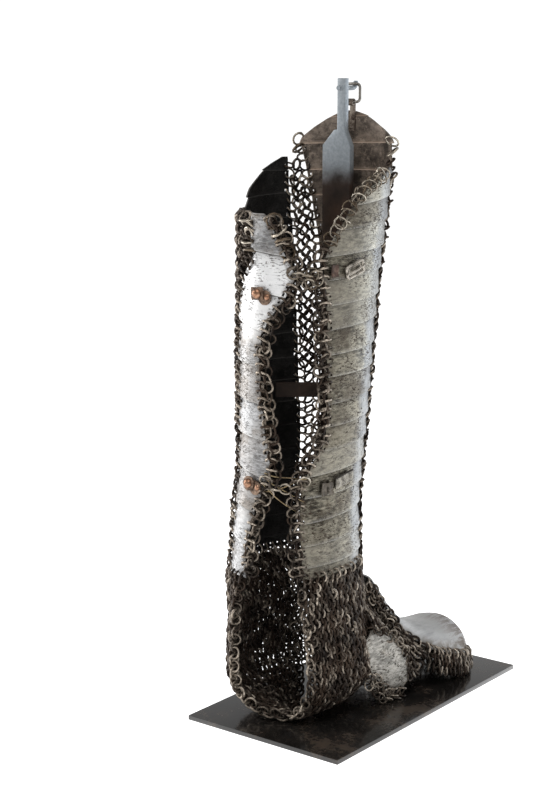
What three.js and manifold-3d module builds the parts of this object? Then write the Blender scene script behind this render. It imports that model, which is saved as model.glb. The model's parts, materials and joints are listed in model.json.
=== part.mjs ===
// A mail and plate greave for a right leg, hung on its display stand.
// Millimetres, +Z up, +Y towards the toes, +X towards the outer side of the leg.
// The origin is under the middle of the stand's base plate.

import * as THREE from 'three';
import { mergeVertices } from 'three/addons/utils/BufferGeometryUtils.js';
import Module from 'manifold-3d';

// Stand
const baseWidth = 156;
const baseLength = 280;
const baseThickness = 4;
const postWidth = 28;
const postThickness = 6;
const shoulderDrop = 13;
const shoulderLedge = 3;
const neckWidth = 7.5;
const neckSide = 2;
const postSide = -2.5;
const neckHeight = 42;
const pinDiameter = 4;
const pinReach = 19;
const pinRise = 6;
const neckRise = 8;
const spreaderLength = 50;
const spreaderHeight = 12.5;
const spreaderThickness = 4;
const spreaderLevel = 275;
const spreaderTurn = 38;

// Leg of the greave
const apexHeight = 510;
const hemHeight = 131;
const calfWidth = 104;
const calfDepth = 134;
const kneeSide = -4;
const kneeBack = -60;
const legLean = 21;

// Plates
const plateWall = 1.4;
const lameStep = 1.5;
const lameLip = 1;
const sidePitch = 20;
const shinPitch = 22;
const splintPitch = 30;
// Share of a lame that lies below the plates' hem.
const sidePhase = 0.5;

// Mail
const mailWall = 2.6;
const clearance = 0.35;
const fringeWidth = 9.5;
const ankleHeight = 40;
const heelBack = 101;
const soleLength = 22;
const soleSide = -6;
const heelBend = 42;
const heelFlareOuter = 9;
const heelFlareInner = 6;

// Foot
const toeReach = 121;
const capLength = 121;
const capWidth = 72;
const capHeight = 110;
const footTurn = 8.5;
const footSide = 6;
const anklePlateLength = 72;
const anklePlateWidth = 38;
const anklePlateSpread = 68;
const anklePlateBulge = 4;
const anklePlateAlong = -9;
const anklePlateLevel = 44;
const mailCutter = 9;
const toeMailDrop = 15;

// Fittings
const linkWidth = 12;
const linkHeight = 17.5;
const linkCorner = 3;
const linkWire = 1.2;
const tabWidth = 5;
const tabWall = 1.4;
const tabLength = 20;
const tabRise = 4;
const washerWidth = 12;
const washerWall = 1.2;
const rivetDiameter = 8;
const rivetHeight = 3.2;
const smallRivetDiameter = 5;
const upperRivetLevel = 369;
const lowerRivetLevel = 212;
const buckleWidth = 21;
const buckleHeight = 12;
const buckleBar = 2.4;
const buckleTongue = 1.6;
const buckleTilt = 18;
const buckleLevel = 387;
const leatherWall = 2.2;
const chapeLength = 11;
const strapLength = 24;
const strapHeight = 9;
const strapLevel = 211;
const tieDiameter = 3.2;

const materials = {
  plate: { color: 0x9a9793, roughness: 0.38, metalness: 0.95 },
  splint: { color: 0xb4b3b2, roughness: 0.34, metalness: 0.95 },
  mail: { color: 0x4a4138, roughness: 0.5, metalness: 0.9 },
  stand: { color: 0x2a2826, roughness: 0.28, metalness: 0.6 },
  copper: { color: 0xb87345, roughness: 0.35, metalness: 0.9 },
  washer: { color: 0x6b4a35, roughness: 0.55, metalness: 0.6 },
  leather: { color: 0x4a2c1c, roughness: 0.75, metalness: 0 },
};

// Sections of the leg tube from the ankle up to the knee.
// up is a share of the plates' height, lean is a share of how far the axis wanders to the
// inner side, wide and deep are shares of the calf.
const legSections = [
  { up: -0.12, lean: 0.8, wide: 0.96, deep: 0.95 },
  { up: -0.03, lean: 1.0, wide: 0.92, deep: 0.955 },
  { up: 0.06, lean: 0.95, wide: 0.88, deep: 0.93 },
  { up: 0.15, lean: 0.9, wide: 0.855, deep: 0.91 },
  { up: 0.24, lean: 0.71, wide: 0.845, deep: 0.9 },
  { up: 0.33, lean: 0.62, wide: 0.875, deep: 0.93 },
  { up: 0.49, lean: 0.5, wide: 0.92, deep: 0.96 },
  { up: 0.6, lean: 0.4, wide: 0.94, deep: 0.97 },
  { up: 0.71, lean: 0.26, wide: 0.98, deep: 0.99 },
  { up: 0.78, lean: 0.17, wide: 1.02, deep: 1.01 },
  { up: 0.88, lean: -0.05, wide: 1.03, deep: 1.0 },
  { up: 1.03, lean: -0.1, wide: 1.06, deep: 0.985 },
];

// Side edges of each plate, as angles about the leg's axis from the outer side,
// counted towards the toes. The last rows narrow to the plate's top.
const shinEdges = [
  { up: 0.0, from: 62, to: 120 },
  { up: 0.35, from: 62, to: 121 },
  { up: 0.58, from: 62, to: 123 },
  { up: 0.71, from: 60, to: 127 },
  { up: 0.81, from: 54, to: 135 },
  { up: 0.93, from: 44, to: 147 },
  { up: 0.944, from: 56, to: 145 },
  { up: 0.966, from: 74, to: 135 },
  { up: 0.984, from: 86, to: 125 },
  { up: 0.994, from: 95, to: 117 },
  { up: 1.0, from: 102, to: 111 },
];
const innerEdges = [
  { up: 0.0, from: 134, to: 221 },
  { up: 0.24, from: 136, to: 221 },
  { up: 0.35, from: 139, to: 220 },
  { up: 0.58, from: 145, to: 219 },
  { up: 0.76, from: 151, to: 212 },
  { up: 0.8, from: 153, to: 204 },
  { up: 0.835, from: 155, to: 199 },
  { up: 0.868, from: 157, to: 184 },
  { up: 0.893, from: 158, to: 167 },
  { up: 0.9, from: 159, to: 163 },
];
const splintEdges = [
  { up: 0.0, from: 238, to: 268 },
  { up: 0.05, from: 238, to: 265 },
  { up: 0.13, from: 239, to: 271 },
  { up: 0.25, from: 239, to: 287 },
  { up: 0.32, from: 240, to: 281 },
  { up: 0.41, from: 241, to: 275 },
  { up: 0.51, from: 240, to: 272 },
  { up: 0.57, from: 240, to: 280 },
  { up: 0.62, from: 241, to: 295 },
  { up: 0.665, from: 251, to: 303 },
  { up: 0.7, from: 261, to: 295 },
  { up: 0.784, from: 257, to: 277 },
  { up: 0.794, from: 257, to: 272 },
];
const outerEdges = [
  { up: 0.0, from: -39, to: 41 },
  { up: 0.18, from: -43, to: 41 },
  { up: 0.23, from: -41, to: 41 },
  { up: 0.31, from: -24, to: 41 },
  { up: 0.4, from: -25, to: 41 },
  { up: 0.61, from: -31, to: 41 },
  { up: 0.7, from: -37, to: 41 },
  { up: 0.75, from: -29, to: 40 },
  { up: 0.8, from: -19, to: 39 },
  { up: 0.842, from: -6, to: 38 },
  { up: 0.873, from: 17, to: 38 },
  { up: 0.882, from: 30, to: 37 },
];

// Stations of the toe cap from its tongue to its nose. along is a share of the cap's
// length, ridge and rim are shares of its height, wide is a share of its width.
const capStations = [
  { along: 0.0, wide: 0.24, ridge: 1.0, rim: 0.97 },
  { along: 0.06, wide: 0.34, ridge: 0.9, rim: 0.84 },
  { along: 0.13, wide: 0.42, ridge: 0.79, rim: 0.7 },
  { along: 0.25, wide: 0.56, ridge: 0.64, rim: 0.53 },
  { along: 0.37, wide: 0.8, ridge: 0.55, rim: 0.39 },
  { along: 0.5, wide: 0.95, ridge: 0.505, rim: 0.32 },
  { along: 0.63, wide: 1.0, ridge: 0.485, rim: 0.27 },
  { along: 0.75, wide: 0.98, ridge: 0.485, rim: 0.235 },
  { along: 0.84, wide: 0.88, ridge: 0.465, rim: 0.21 },
  { along: 0.91, wide: 0.7, ridge: 0.41, rim: 0.19 },
  { along: 0.96, wide: 0.5, ridge: 0.33, rim: 0.175 },
  { along: 0.99, wide: 0.28, ridge: 0.245, rim: 0.17 },
  { along: 1.0, wide: 0.1, ridge: 0.195, rim: 0.165 },
];

const degrees = Math.PI / 180;
const plateHeight = apexHeight - hemHeight;
const wasm = await Module();
wasm.setup();

function lerp(a, b, share) {
  return a + (b - a) * share;
}

// Reads one column of a table at a place, straight between its rows.
function column(table, key, name, place) {
  const last = table.length - 1;
  let row = 0;
  while (row < last - 1 && table[row + 1][key] < place) row += 1;
  const low = table[row];
  const high = table[row + 1];
  return lerp(low[name], high[name], (place - low[key]) / (high[key] - low[key]));
}

// A point of the leg tube, out millimetres outside its middle surface.
function legPoint(angle, height, out = 0) {
  const up = (height - hemHeight) / plateHeight;
  const read = (name) => column(legSections, 'up', name, up);
  const wide = read('wide') * calfWidth / 2 + out;
  const deep = read('deep') * calfDepth / 2 + out;
  return new THREE.Vector3(
    kneeSide - legLean * read('lean') + wide * Math.cos(angle * degrees),
    kneeBack + deep * Math.sin(angle * degrees),
    height,
  );
}

// The angle that a distance along the leg tube's wall takes.
function turnOf(length) {
  return length / (calfWidth + calfDepth) * 4 / degrees;
}

function geometryFrom(points, faces) {
  const geometry = new THREE.BufferGeometry();
  geometry.setAttribute('position', new THREE.BufferAttribute(new Float32Array(points), 3));
  geometry.setIndex(faces);
  return geometry;
}

// A closed sheet from two grids of points, an inner one and an outer one.
function closedSheet(rows, columns, place) {
  const points = [];
  for (let side = 0; side < 2; side += 1) {
    for (let row = 0; row <= rows; row += 1) {
      for (let step = 0; step <= columns; step += 1) {
        points.push(...place(row, step, side).toArray());
      }
    }
  }
  const index = (row, step, side) => (side * (rows + 1) + row) * (columns + 1) + step;
  const faces = [];
  const quad = (...corners) => {
    const [a, b, c, d] = corners.map(([row, step, side]) => index(row, step, side));
    faces.push(a, b, c, a, c, d);
  };
  for (let row = 0; row < rows; row += 1) {
    const next = row + 1;
    for (let step = 0; step < columns; step += 1) {
      quad([row, step, 1], [row, step + 1, 1], [next, step + 1, 1], [next, step, 1]);
      quad([row, step, 0], [next, step, 0], [next, step + 1, 0], [row, step + 1, 0]);
    }
    quad([row, 0, 0], [row, 0, 1], [next, 0, 1], [next, 0, 0]);
    quad([row, columns, 0], [next, columns, 0], [next, columns, 1], [row, columns, 1]);
  }
  for (let step = 0; step < columns; step += 1) {
    const next = step + 1;
    quad([0, step, 0], [0, next, 0], [0, next, 1], [0, step, 1]);
    quad([rows, step, 0], [rows, step, 1], [rows, next, 1], [rows, next, 0]);
  }
  return outward(geometryFrom(points, faces));
}

// Turns every face of a closed mesh outwards.
function outward(geometry) {
  const position = geometry.attributes.position;
  const faces = geometry.index.array;
  const corner = (i) => new THREE.Vector3().fromBufferAttribute(position, faces[i]);
  let volume = 0;
  for (let i = 0; i < faces.length; i += 3) {
    volume += corner(i).dot(corner(i + 1).cross(corner(i + 2)));
  }
  if (volume < 0) geometry.setIndex(Array.from(faces).reverse());
  return geometry;
}

// A sheet of even thickness about a surface that is given by a function of two shares.
function surfaceSheet(surface, rows, columns, wall) {
  const reach = 1e-3;
  const normal = (u, v) => {
    const along = surface(u + reach, v).sub(surface(u - reach, v));
    const across = surface(u, v + reach).sub(surface(u, v - reach));
    return along.cross(across).normalize();
  };
  return closedSheet(rows, columns, (row, step, side) => {
    const u = row / rows;
    const v = step / columns;
    return surface(u, v).addScaledVector(normal(u, v), side === 0 ? -wall / 2 : wall / 2);
  });
}

// A sheet of the leg tube between two edges that vary with the height.
function legSheet(heights, columns, fromAt, toAt, inside, outside) {
  return closedSheet(heights.length - 1, columns, (row, step, side) => {
    const height = heights[row];
    const angle = lerp(fromAt(height), toAt(height), step / columns);
    return legPoint(angle, height, side === 0 ? inside(height) : outside(height));
  });
}

function edge(table, name) {
  return (height) => column(table, 'up', name, (height - hemHeight) / plateHeight);
}

function heightOf(up) {
  return hemHeight + plateHeight * up;
}

// Drops heights that lie too close above the one before, and keeps both ends.
function spaced(heights, least) {
  const sorted = [...heights].sort((a, b) => a - b);
  const top = sorted[sorted.length - 1];
  const kept = [sorted[0]];
  for (const height of sorted) {
    if (height - kept[kept.length - 1] >= least && top - height >= least) kept.push(height);
  }
  return [...kept, top];
}

// How far a lame stands out at a height: each flares towards its lower edge, which laps
// over the top of the next lame below.
function lameOut(pitch, phase) {
  return (height) => {
    const above = (height - hemHeight + phase * pitch) % pitch;
    return above < lameLip ? lameStep * above / lameLip : lameStep * (pitch - above) / (pitch - lameLip);
  };
}

// One plate, embossed in lames, cut to its own outline.
function lamedPlate(table, pitch, phase, columns) {
  const top = heightOf(table[table.length - 1].up);
  const heights = table.map((row) => heightOf(row.up));
  for (let low = hemHeight - phase * pitch; low < top - lameLip; low += pitch) {
    heights.push(low, low + lameLip);
  }
  const rows = spaced(heights.filter((height) => height >= hemHeight && height <= top), lameLip * 0.9);
  const out = lameOut(pitch, phase);
  return legSheet(
    rows,
    columns,
    edge(table, 'from'),
    edge(table, 'to'),
    (height) => out(height) - plateWall / 2,
    (height) => out(height) + plateWall / 2,
  );
}

// Mail hangs level with the plates' middle, so its rings reach their edge holes.
const mailMiddle = lameStep / 2;

function legMail(fromAt, toAt, low, high, columns, tables) {
  const heights = [low, high];
  for (let height = low; height < high; height += sidePitch / 2) heights.push(height);
  for (const table of tables) {
    heights.push(...table.map((row) => heightOf(row.up)).filter((height) => height > low && height < high));
  }
  return legSheet(
    spaced(heights, lameLip),
    columns,
    fromAt,
    toAt,
    () => mailMiddle - mailWall / 2,
    () => mailMiddle + mailWall / 2,
  );
}

// Cuts one closed mesh out of another.
function toSolid(geometry) {
  const bare = geometry.clone();
  bare.deleteAttribute('normal');
  bare.deleteAttribute('uv');
  const merged = mergeVertices(bare, 1e-4);
  return new wasm.Manifold(new wasm.Mesh({
    numProp: 3,
    vertProperties: new Float32Array(merged.attributes.position.array),
    triVerts: new Uint32Array(merged.index.array),
  }));
}

function fromSolid(solid) {
  const mesh = solid.getMesh();
  return geometryFrom(mesh.vertProperties, Array.from(mesh.triVerts));
}

function cut(geometry, ...tools) {
  return fromSolid(tools.reduce((left, tool) => left.subtract(toSolid(tool)), toSolid(geometry)));
}

function join(...geometries) {
  return fromSolid(geometries.slice(1).reduce((all, next) => all.add(toSolid(next)), toSolid(geometries[0])));
}

function box(width, depth, height, x, y, z) {
  return new THREE.BoxGeometry(width, depth, height).translate(x, y, z);
}

const group = new THREE.Group();

function add(name, geometry, finish) {
  geometry.deleteAttribute('uv');
  const mesh = new THREE.Mesh(geometry, new THREE.MeshStandardMaterial(materials[finish]));
  mesh.name = name;
  group.add(mesh);
  return mesh;
}

// The apex of the shin plate, where everything hangs.
const apexAngle = shinEdges[shinEdges.length - 1].from;
const apex = legPoint(apexAngle, apexHeight);
const tabFace = apex.y - plateWall / 2 - clearance;
const eyeRadius = linkWire + clearance + tabWall;
const eyeCentre = new THREE.Vector2(tabFace - eyeRadius, apexHeight + eyeRadius + tabRise);
const linkTop = eyeCentre.y + linkHeight - 2 * linkWire;
const postY = eyeCentre.x - pinReach + pinDiameter;
const pinLevel = linkTop - linkWire - clearance - pinDiameter / 2;

function basePlate() {
  return box(baseWidth, baseLength, baseThickness, 0, 0, baseThickness / 2);
}

// Flat bar with a chamfered top, a narrow neck, a hooked pin and a welded spreader bar.
function post() {
  const foot = baseThickness + clearance;
  const shoulder = pinLevel + neckRise - neckHeight;
  const neckRight = neckSide - postSide + neckWidth / 2;
  const outline = new THREE.Shape([
    new THREE.Vector2(-postWidth / 2, foot),
    new THREE.Vector2(postWidth / 2, foot),
    new THREE.Vector2(postWidth / 2, shoulder - shoulderDrop),
    new THREE.Vector2(neckRight, shoulder),
    new THREE.Vector2(neckRight, shoulder + neckHeight),
    new THREE.Vector2(neckRight - neckWidth, shoulder + neckHeight),
    new THREE.Vector2(neckRight - neckWidth, shoulder),
    new THREE.Vector2(neckRight - neckWidth - shoulderLedge, shoulder),
    new THREE.Vector2(-postWidth / 2, shoulder - shoulderDrop),
  ]);
  const bar = new THREE.ExtrudeGeometry(outline, { depth: postThickness, bevelEnabled: false });
  bar.rotateX(90 * degrees).translate(apex.x + postSide, postY + postThickness / 2, 0);
  const bend = new THREE.CatmullRomCurve3([
    new THREE.Vector3(apex.x, postY, pinLevel),
    new THREE.Vector3(apex.x, postY + pinReach * 0.5, pinLevel),
    new THREE.Vector3(apex.x, postY + pinReach * 0.9, pinLevel),
    new THREE.Vector3(apex.x, postY + pinReach + pinDiameter * 0.4, pinLevel + pinRise * 0.5),
    new THREE.Vector3(apex.x, postY + pinReach + pinDiameter * 0.5, pinLevel + pinRise),
  ]);
  const round = new THREE.Shape().absarc(0, 0, pinDiameter / 2, 0, 2 * Math.PI);
  const pin = new THREE.ExtrudeGeometry(round, { steps: 10, curveSegments: 5, extrudePath: bend });
  const spreader = box(spreaderLength, spreaderThickness, spreaderHeight, -spreaderLength / 2, 0, 0);
  spreader.rotateZ(spreaderTurn * degrees);
  spreader.translate(apex.x + postSide, postY - postThickness / 2, spreaderLevel);
  return join(bar, pin, spreader);
}

// Folded strap whose eye holds the hanging link.
function apexTab() {
  const outer = new THREE.Shape();
  const start = -Math.acos((eyeRadius - tabWall) / eyeRadius);
  outer.moveTo(eyeRadius, -eyeRadius - tabLength);
  outer.absarc(0, 0, eyeRadius, 0, 2 * Math.PI + start, false);
  outer.lineTo(eyeRadius - tabWall, -eyeRadius - tabLength);
  outer.holes.push(new THREE.Path().absarc(0, 0, eyeRadius - tabWall, 0, 2 * Math.PI, true));
  const tab = new THREE.ExtrudeGeometry(outer, { depth: tabWidth, bevelEnabled: false, curveSegments: 8 });
  tab.rotateX(90 * degrees).rotateZ(90 * degrees);
  return tab.translate(apex.x - tabWidth / 2, eyeCentre.x, eyeCentre.y);
}

// Oblong link: a ring with its four quarters pulled apart.
function hangingLink() {
  const sides = 16;
  const link = new THREE.TorusGeometry(linkCorner, linkWire, 6, sides).rotateZ(Math.PI / sides);
  const position = link.attributes.position;
  const pullAcross = linkWidth / 2 - linkWire - linkCorner;
  const pullUp = linkHeight / 2 - linkWire - linkCorner;
  for (let i = 0; i < position.count; i += 1) {
    position.setX(i, position.getX(i) + Math.sign(position.getX(i)) * pullAcross);
    position.setY(i, position.getY(i) + Math.sign(position.getY(i)) * pullUp);
  }
  return link.rotateX(90 * degrees).translate(apex.x, eyeCentre.x, eyeCentre.y + linkCorner + pullUp);
}

// A domed head with its flat side on the plane z = 0.
function dome(diameter, height) {
  const profile = [new THREE.Vector2(0, 0), new THREE.Vector2(diameter / 2, 0)];
  for (let step = 1; step <= 4; step += 1) {
    const turn = step * 22.5 * degrees;
    profile.push(new THREE.Vector2(diameter / 2 * Math.cos(turn), height * Math.sin(turn)));
  }
  profile[profile.length - 1].x = 0;
  return new THREE.LatheGeometry(profile, 14).rotateX(90 * degrees);
}

// Sets a flat piece against the outside of the leg, turned to face outwards.
function onLeg(geometry, angle, height, out) {
  const seat = legPoint(angle, height, out);
  const ahead = legPoint(angle + 1, height, out);
  const above = legPoint(angle, height + 10, out);
  const across = ahead.sub(seat).normalize();
  const rise = above.sub(seat).normalize();
  const facing = across.clone().cross(rise).normalize();
  const matrix = new THREE.Matrix4().makeBasis(across, facing.clone().cross(across), facing);
  return geometry.applyMatrix4(matrix).translate(seat.x, seat.y, seat.z);
}

// Legs of the foot's own frame: along runs from the heel to the toes.
function footPoint(across, along, height) {
  const turn = footTurn * degrees;
  return new THREE.Vector3(
    footSide + across * Math.cos(turn) + along * Math.sin(turn),
    along * Math.cos(turn) - across * Math.sin(turn),
    height,
  );
}

// The cap's surface: u runs from the tongue to the nose, v from the inner rim to the outer.
function capSurface(grow) {
  return (u, v) => {
    const read = (name) => column(capStations, 'along', name, u);
    const turn = (v * 2 - 1) * 90 * degrees;
    const half = read('wide') * capWidth / 2 + grow;
    const rim = read('rim') * capHeight;
    const ridge = read('ridge') * capHeight;
    const along = toeReach - capLength * (1 - u);
    return footPoint(half * Math.sin(turn), along, rim + (ridge - rim) * Math.cos(turn) - grow * 0.5);
  };
}

function capShape(grow, wall) {
  const surface = capSurface(grow);
  const shares = capStations.map((row) => row.along);
  const columns = 10;
  const reach = 1e-3;
  return closedSheet(shares.length - 1, columns, (row, step, side) => {
    const u = shares[row];
    const v = step / columns;
    const ahead = surface(Math.min(u + reach, 1), v).sub(surface(Math.max(u - reach, 0), v));
    const across = surface(u, v + reach).sub(surface(u, v - reach));
    const out = across.cross(ahead).normalize();
    return surface(u, v).addScaledVector(out, side === 0 ? -wall / 2 : wall / 2);
  });
}

// Lozenge that guards the ankle bone: side is 1 on the outer side and -1 on the inner.
const lozengeWidths = [0.3, 0.72, 0.95, 1, 0.95, 0.78, 0.34];
const lozengeSlope = 47;

function lozengeSurface(side, grow) {
  const steps = lozengeWidths.length - 1;
  const slope = lozengeSlope * degrees;
  return (u, v) => {
    const place = Math.min(Math.max(u, 0), 1) * steps;
    const low = Math.min(Math.floor(place), steps - 1);
    const half = lerp(lozengeWidths[low], lozengeWidths[low + 1], place - low) * anklePlateWidth / 2 + grow;
    const run = (u - 0.5) * (anklePlateLength + 2 * grow);
    const off = (v * 2 - 1) * half;
    const along = anklePlateAlong + run * Math.cos(slope) + off * Math.sin(slope);
    const height = anklePlateLevel - run * Math.sin(slope) + off * Math.cos(slope);
    const round = 1 - (u * 2 - 1) ** 2 / 2 - (v * 2 - 1) ** 2 / 2;
    return footPoint(side * (anklePlateSpread / 2 + anklePlateBulge * round), along, height);
  };
}

function anklePlate(side) {
  return surfaceSheet(lozengeSurface(side, 0), lozengeWidths.length - 1, 4, plateWall);
}

// A thick lozenge that leaves the clearance round the plate when it is cut from the mail.
function lozengeCutter(side) {
  return surfaceSheet(lozengeSurface(side, 2 * clearance), lozengeWidths.length - 1, 4, mailCutter);
}

// Edges of the mail that hangs below the plates. The opening at the back runs on from the
// opening between the splint and the outer plate.
const ankleFrom = outerEdges[0].from;
const ankleTo = splintEdges[0].from + 5;
const ankleTopTo = splintEdges[0].to - 6;
const ankleLow = hemHeight - ankleHeight;
const slingOuter = 24;
const slingInner = 128;
const tongueOuter = 76;
const tongueInner = 114;
const seam = turnOf(clearance);
const instepGap = turnOf(9 * clearance);
// Share of the cap's length where the skirt of mail starts, and the place of the instep's free
// corner between the lozenge's tip and that start.
const skirtStart = 0.4;
const cornerShare = 0.6;
const noseRound = 12;

// Mail band round the ankle, below the plates.
function ankleMail() {
  const top = hemHeight - clearance - lameLip;
  const heights = [ankleLow, lerp(ankleLow, top, 0.33), lerp(ankleLow, top, 0.66), top];
  const inside = () => mailMiddle - mailWall / 2;
  const outside = () => mailMiddle + mailWall / 2;
  const toAt = (height) => lerp(ankleTo, ankleTopTo, Math.max(0, (height - ankleLow) / (top - ankleLow)));
  return legSheet(heights, 28, () => ankleFrom, toAt, inside, outside);
}

// Mail sling under the heel: u runs from the back rim to the front hem, v from the inner
// side, down and under the heel, up the outer side.
function heelMail() {
  const bottom = baseThickness + clearance + mailWall / 2;
  const top = ankleLow - 2 * clearance;
  const straight = 0.3;
  const sling = surfaceSheet((u, v) => {
    const side = v < 0.5 ? -1 : 1;
    const climb = Math.abs(v - 0.5) * 2;
    const rim = side < 0 ? lerp(ankleTo, slingInner, u) : lerp(ankleFrom, slingOuter, u);
    const hung = legPoint(rim, top, mailMiddle);
    const curled = climb < 1 - straight;
    const turn = curled ? climb / (1 - straight) * 90 * degrees : 90 * degrees;
    const height = curled
      ? heelBend - (heelBend - bottom) * Math.cos(turn)
      : lerp(heelBend, top, (climb - 1 + straight) / straight);
    const point = new THREE.Vector3(soleSide, -heelBack + soleLength * u, 0);
    point.lerp(hung, Math.sin(turn));
    const flare = side < 0 ? heelFlareInner * lerp(0.2, 1, u) : heelFlareOuter * lerp(0.5, 1, u);
    point.x += side * flare * Math.sin(Math.PI * (height - bottom) / (top - bottom));
    point.z = height;
    return point;
  }, 5, 18, mailWall);
  return cut(sling, lozengeCutter(1), lozengeCutter(-1));
}

// Share of the lozenge's width, from its lower side, where the instep's mail would end.
const lozengeSeat = 0.88;

// Mail over one side of the instep. It hangs from the ankle band and ends on the lozenge,
// on a free corner below them, and on the edge of the cap's tongue.
function instepMail(side) {
  const lozenge = lozengeSurface(side, clearance + plateWall);
  const cap = capSurface(plateWall / 2 + clearance + mailWall / 2);
  const hem = [];
  for (let step = 0; step <= 4; step += 1) hem.push(lozenge(step / 4, lozengeSeat));
  const rim = side > 0 ? 1 : 0;
  const corner = cap(skirtStart, rim);
  corner.z -= toeMailDrop;
  hem.push(hem[4].clone().lerp(corner, cornerShare));
  for (const share of [0.37, 0.3, 0.22, 0.14]) {
    const point = cap(share, rim);
    point.z -= mailWall / 2;
    hem.push(point);
  }
  const start = side > 0 ? slingOuter + instepGap : slingInner - instepGap;
  const end = side > 0 ? tongueOuter : tongueInner;
  const last = hem.length - 1;
  const top = ankleLow - clearance - mailWall / 2;
  const sheet = surfaceSheet((u, v) => {
    const place = Math.min(Math.max(v, 0), 1) * last;
    const low = Math.min(Math.floor(place), last - 1);
    const bottom = hem[low].clone().lerp(hem[low + 1], place - low);
    return legPoint(lerp(start, end, v), top, mailMiddle).lerp(bottom, u);
  }, 3, last * 2, mailWall);
  return cut(sheet, lozengeCutter(side), capShape(clearance, plateWall + 4 * clearance));
}

// Mail skirt that hangs from the cap's rim, round the nose from one side to the other.
function toeMail() {
  const surface = capSurface(0);
  const floor = baseThickness + clearance;
  return surfaceSheet((u, v) => {
    const side = v < 0.5 ? 0 : 1;
    const round = 1 - Math.abs(v - 0.5) * 2;
    const share = lerp(skirtStart, 1, Math.sin(round * 90 * degrees));
    const reach = Math.min(1, (1 - round) * noseRound);
    const nose = surface(share, side);
    const centre = surface(share, 0.5);
    const point = new THREE.Vector3(lerp(centre.x, nose.x, reach), lerp(centre.y, nose.y, reach),
      nose.z - clearance);
    point.z = lerp(point.z, Math.max(floor, point.z - toeMailDrop), u);
    return point;
  }, 2, 24, mailWall);
}

const mails = {
  shin_inner_mail: {
    from: (height) => edge(shinEdges, 'to')(height) + seam,
    to: (height) => edge(innerEdges, 'from')(height) - seam,
    top: heightOf(0.893),
    tables: [shinEdges, innerEdges],
  },
  shin_outer_mail: {
    from: (height) => edge(outerEdges, 'to')(height) + seam,
    to: (height) => edge(shinEdges, 'from')(height) - seam,
    top: heightOf(0.88),
    tables: [shinEdges, outerEdges],
  },
  splint_mail: {
    from: (height) => edge(innerEdges, 'to')(height) + seam,
    to: (height) => edge(splintEdges, 'from')(height) - seam,
    top: heightOf(0.79),
    tables: [innerEdges, splintEdges],
  },
  splint_fringe: {
    from: (height) => edge(splintEdges, 'to')(height) + seam,
    to: (height) => edge(splintEdges, 'to')(height) + seam + turnOf(fringeWidth),
    top: heightOf(0.62),
    tables: [splintEdges],
  },
  outer_fringe: {
    from: (height) => edge(outerEdges, 'from')(height) - seam - turnOf(fringeWidth),
    to: (height) => edge(outerEdges, 'from')(height) - seam,
    top: heightOf(0.7),
    tables: [outerEdges],
  },
};

// How far out a flat fitting sits so that it clears the lames that it spans.
function seatOut(pitch, phase, low, high) {
  const out = lameOut(pitch, phase);
  let most = 0;
  for (let height = low; height <= high; height += lameLip / 2) most = Math.max(most, out(height));
  return most + plateWall / 2 + clearance;
}

// A flat piece of the given outline and thickness, with its back on the plane z = 0.
function flatPiece(outline, wall, across = 0, up = 0) {
  const flat = new THREE.ExtrudeGeometry(outline, { depth: wall, bevelEnabled: false, curveSegments: 7 });
  return flat.translate(across, up, 0);
}

function rectangle(width, height) {
  return new THREE.Shape([
    new THREE.Vector2(-width / 2, -height / 2),
    new THREE.Vector2(width / 2, -height / 2),
    new THREE.Vector2(width / 2, height / 2),
    new THREE.Vector2(-width / 2, height / 2),
  ]);
}

function disc(diameter) {
  return new THREE.Shape().absarc(0, 0, diameter / 2, 0, 2 * Math.PI);
}

// Pairs of copper rivets on washers, which held the splint's straps.
function addRivets(name, angle, level, outline) {
  const raised = washerWall + clearance;
  const seat = seatOut(splintPitch, 0, level - washerWidth * 0.75, level + washerWidth / 2);
  const under = flatPiece(disc(washerWidth), washerWall, washerWidth / 2, -washerWidth / 4);
  const washer = flatPiece(outline, washerWall);
  const head = dome(rivetDiameter, rivetHeight);
  const small = dome(smallRivetDiameter, rivetHeight / 2);
  small.translate((washerWidth + smallRivetDiameter) / 2 + clearance, -washerWidth / 5, 0);
  add(`${name}_under_washer`, onLeg(under, angle, level, seat), 'washer');
  add(`${name}_washer`, onLeg(washer, angle, level, seat + raised), 'washer');
  add(`${name}_rivet`, onLeg(head, angle, level, seat + 2 * raised), 'copper');
  add(`${name}_small_rivet`, onLeg(small, angle, level, seat + raised), 'copper');
}

// Buckle: a tilted frame with its tongue, and a leather chape beside it.
const buckleAngle = -10;

function addBuckle() {
  const frame = rectangle(buckleWidth, buckleHeight);
  const opening = rectangle(buckleWidth - 2 * buckleBar, buckleHeight - 2 * buckleBar);
  frame.holes.push(new THREE.Path(opening.getPoints().reverse()));
  const tongue = rectangle(buckleWidth, buckleTongue);
  const seat = seatOut(sidePitch, sidePhase, buckleLevel - buckleHeight, buckleLevel + buckleHeight);
  const placed = (piece, out) => onLeg(piece.rotateZ(buckleTilt * degrees), buckleAngle, buckleLevel, out);
  add('buckle_frame', placed(flatPiece(frame, buckleBar), seat), 'mail');
  add('buckle_tongue', placed(flatPiece(tongue, buckleTongue), seat + buckleBar + clearance), 'mail');
  const beside = turnOf((buckleWidth + chapeLength) / 2 + buckleBar);
  const chape = flatPiece(rectangle(chapeLength, buckleHeight - buckleBar), leatherWall);
  add('buckle_chape', onLeg(chape, buckleAngle - beside, buckleLevel, seat), 'leather');
}

// What is left of the lower strap: a riveted metal end and two curled bits of leather.
const strapAngle = -2;

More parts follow.
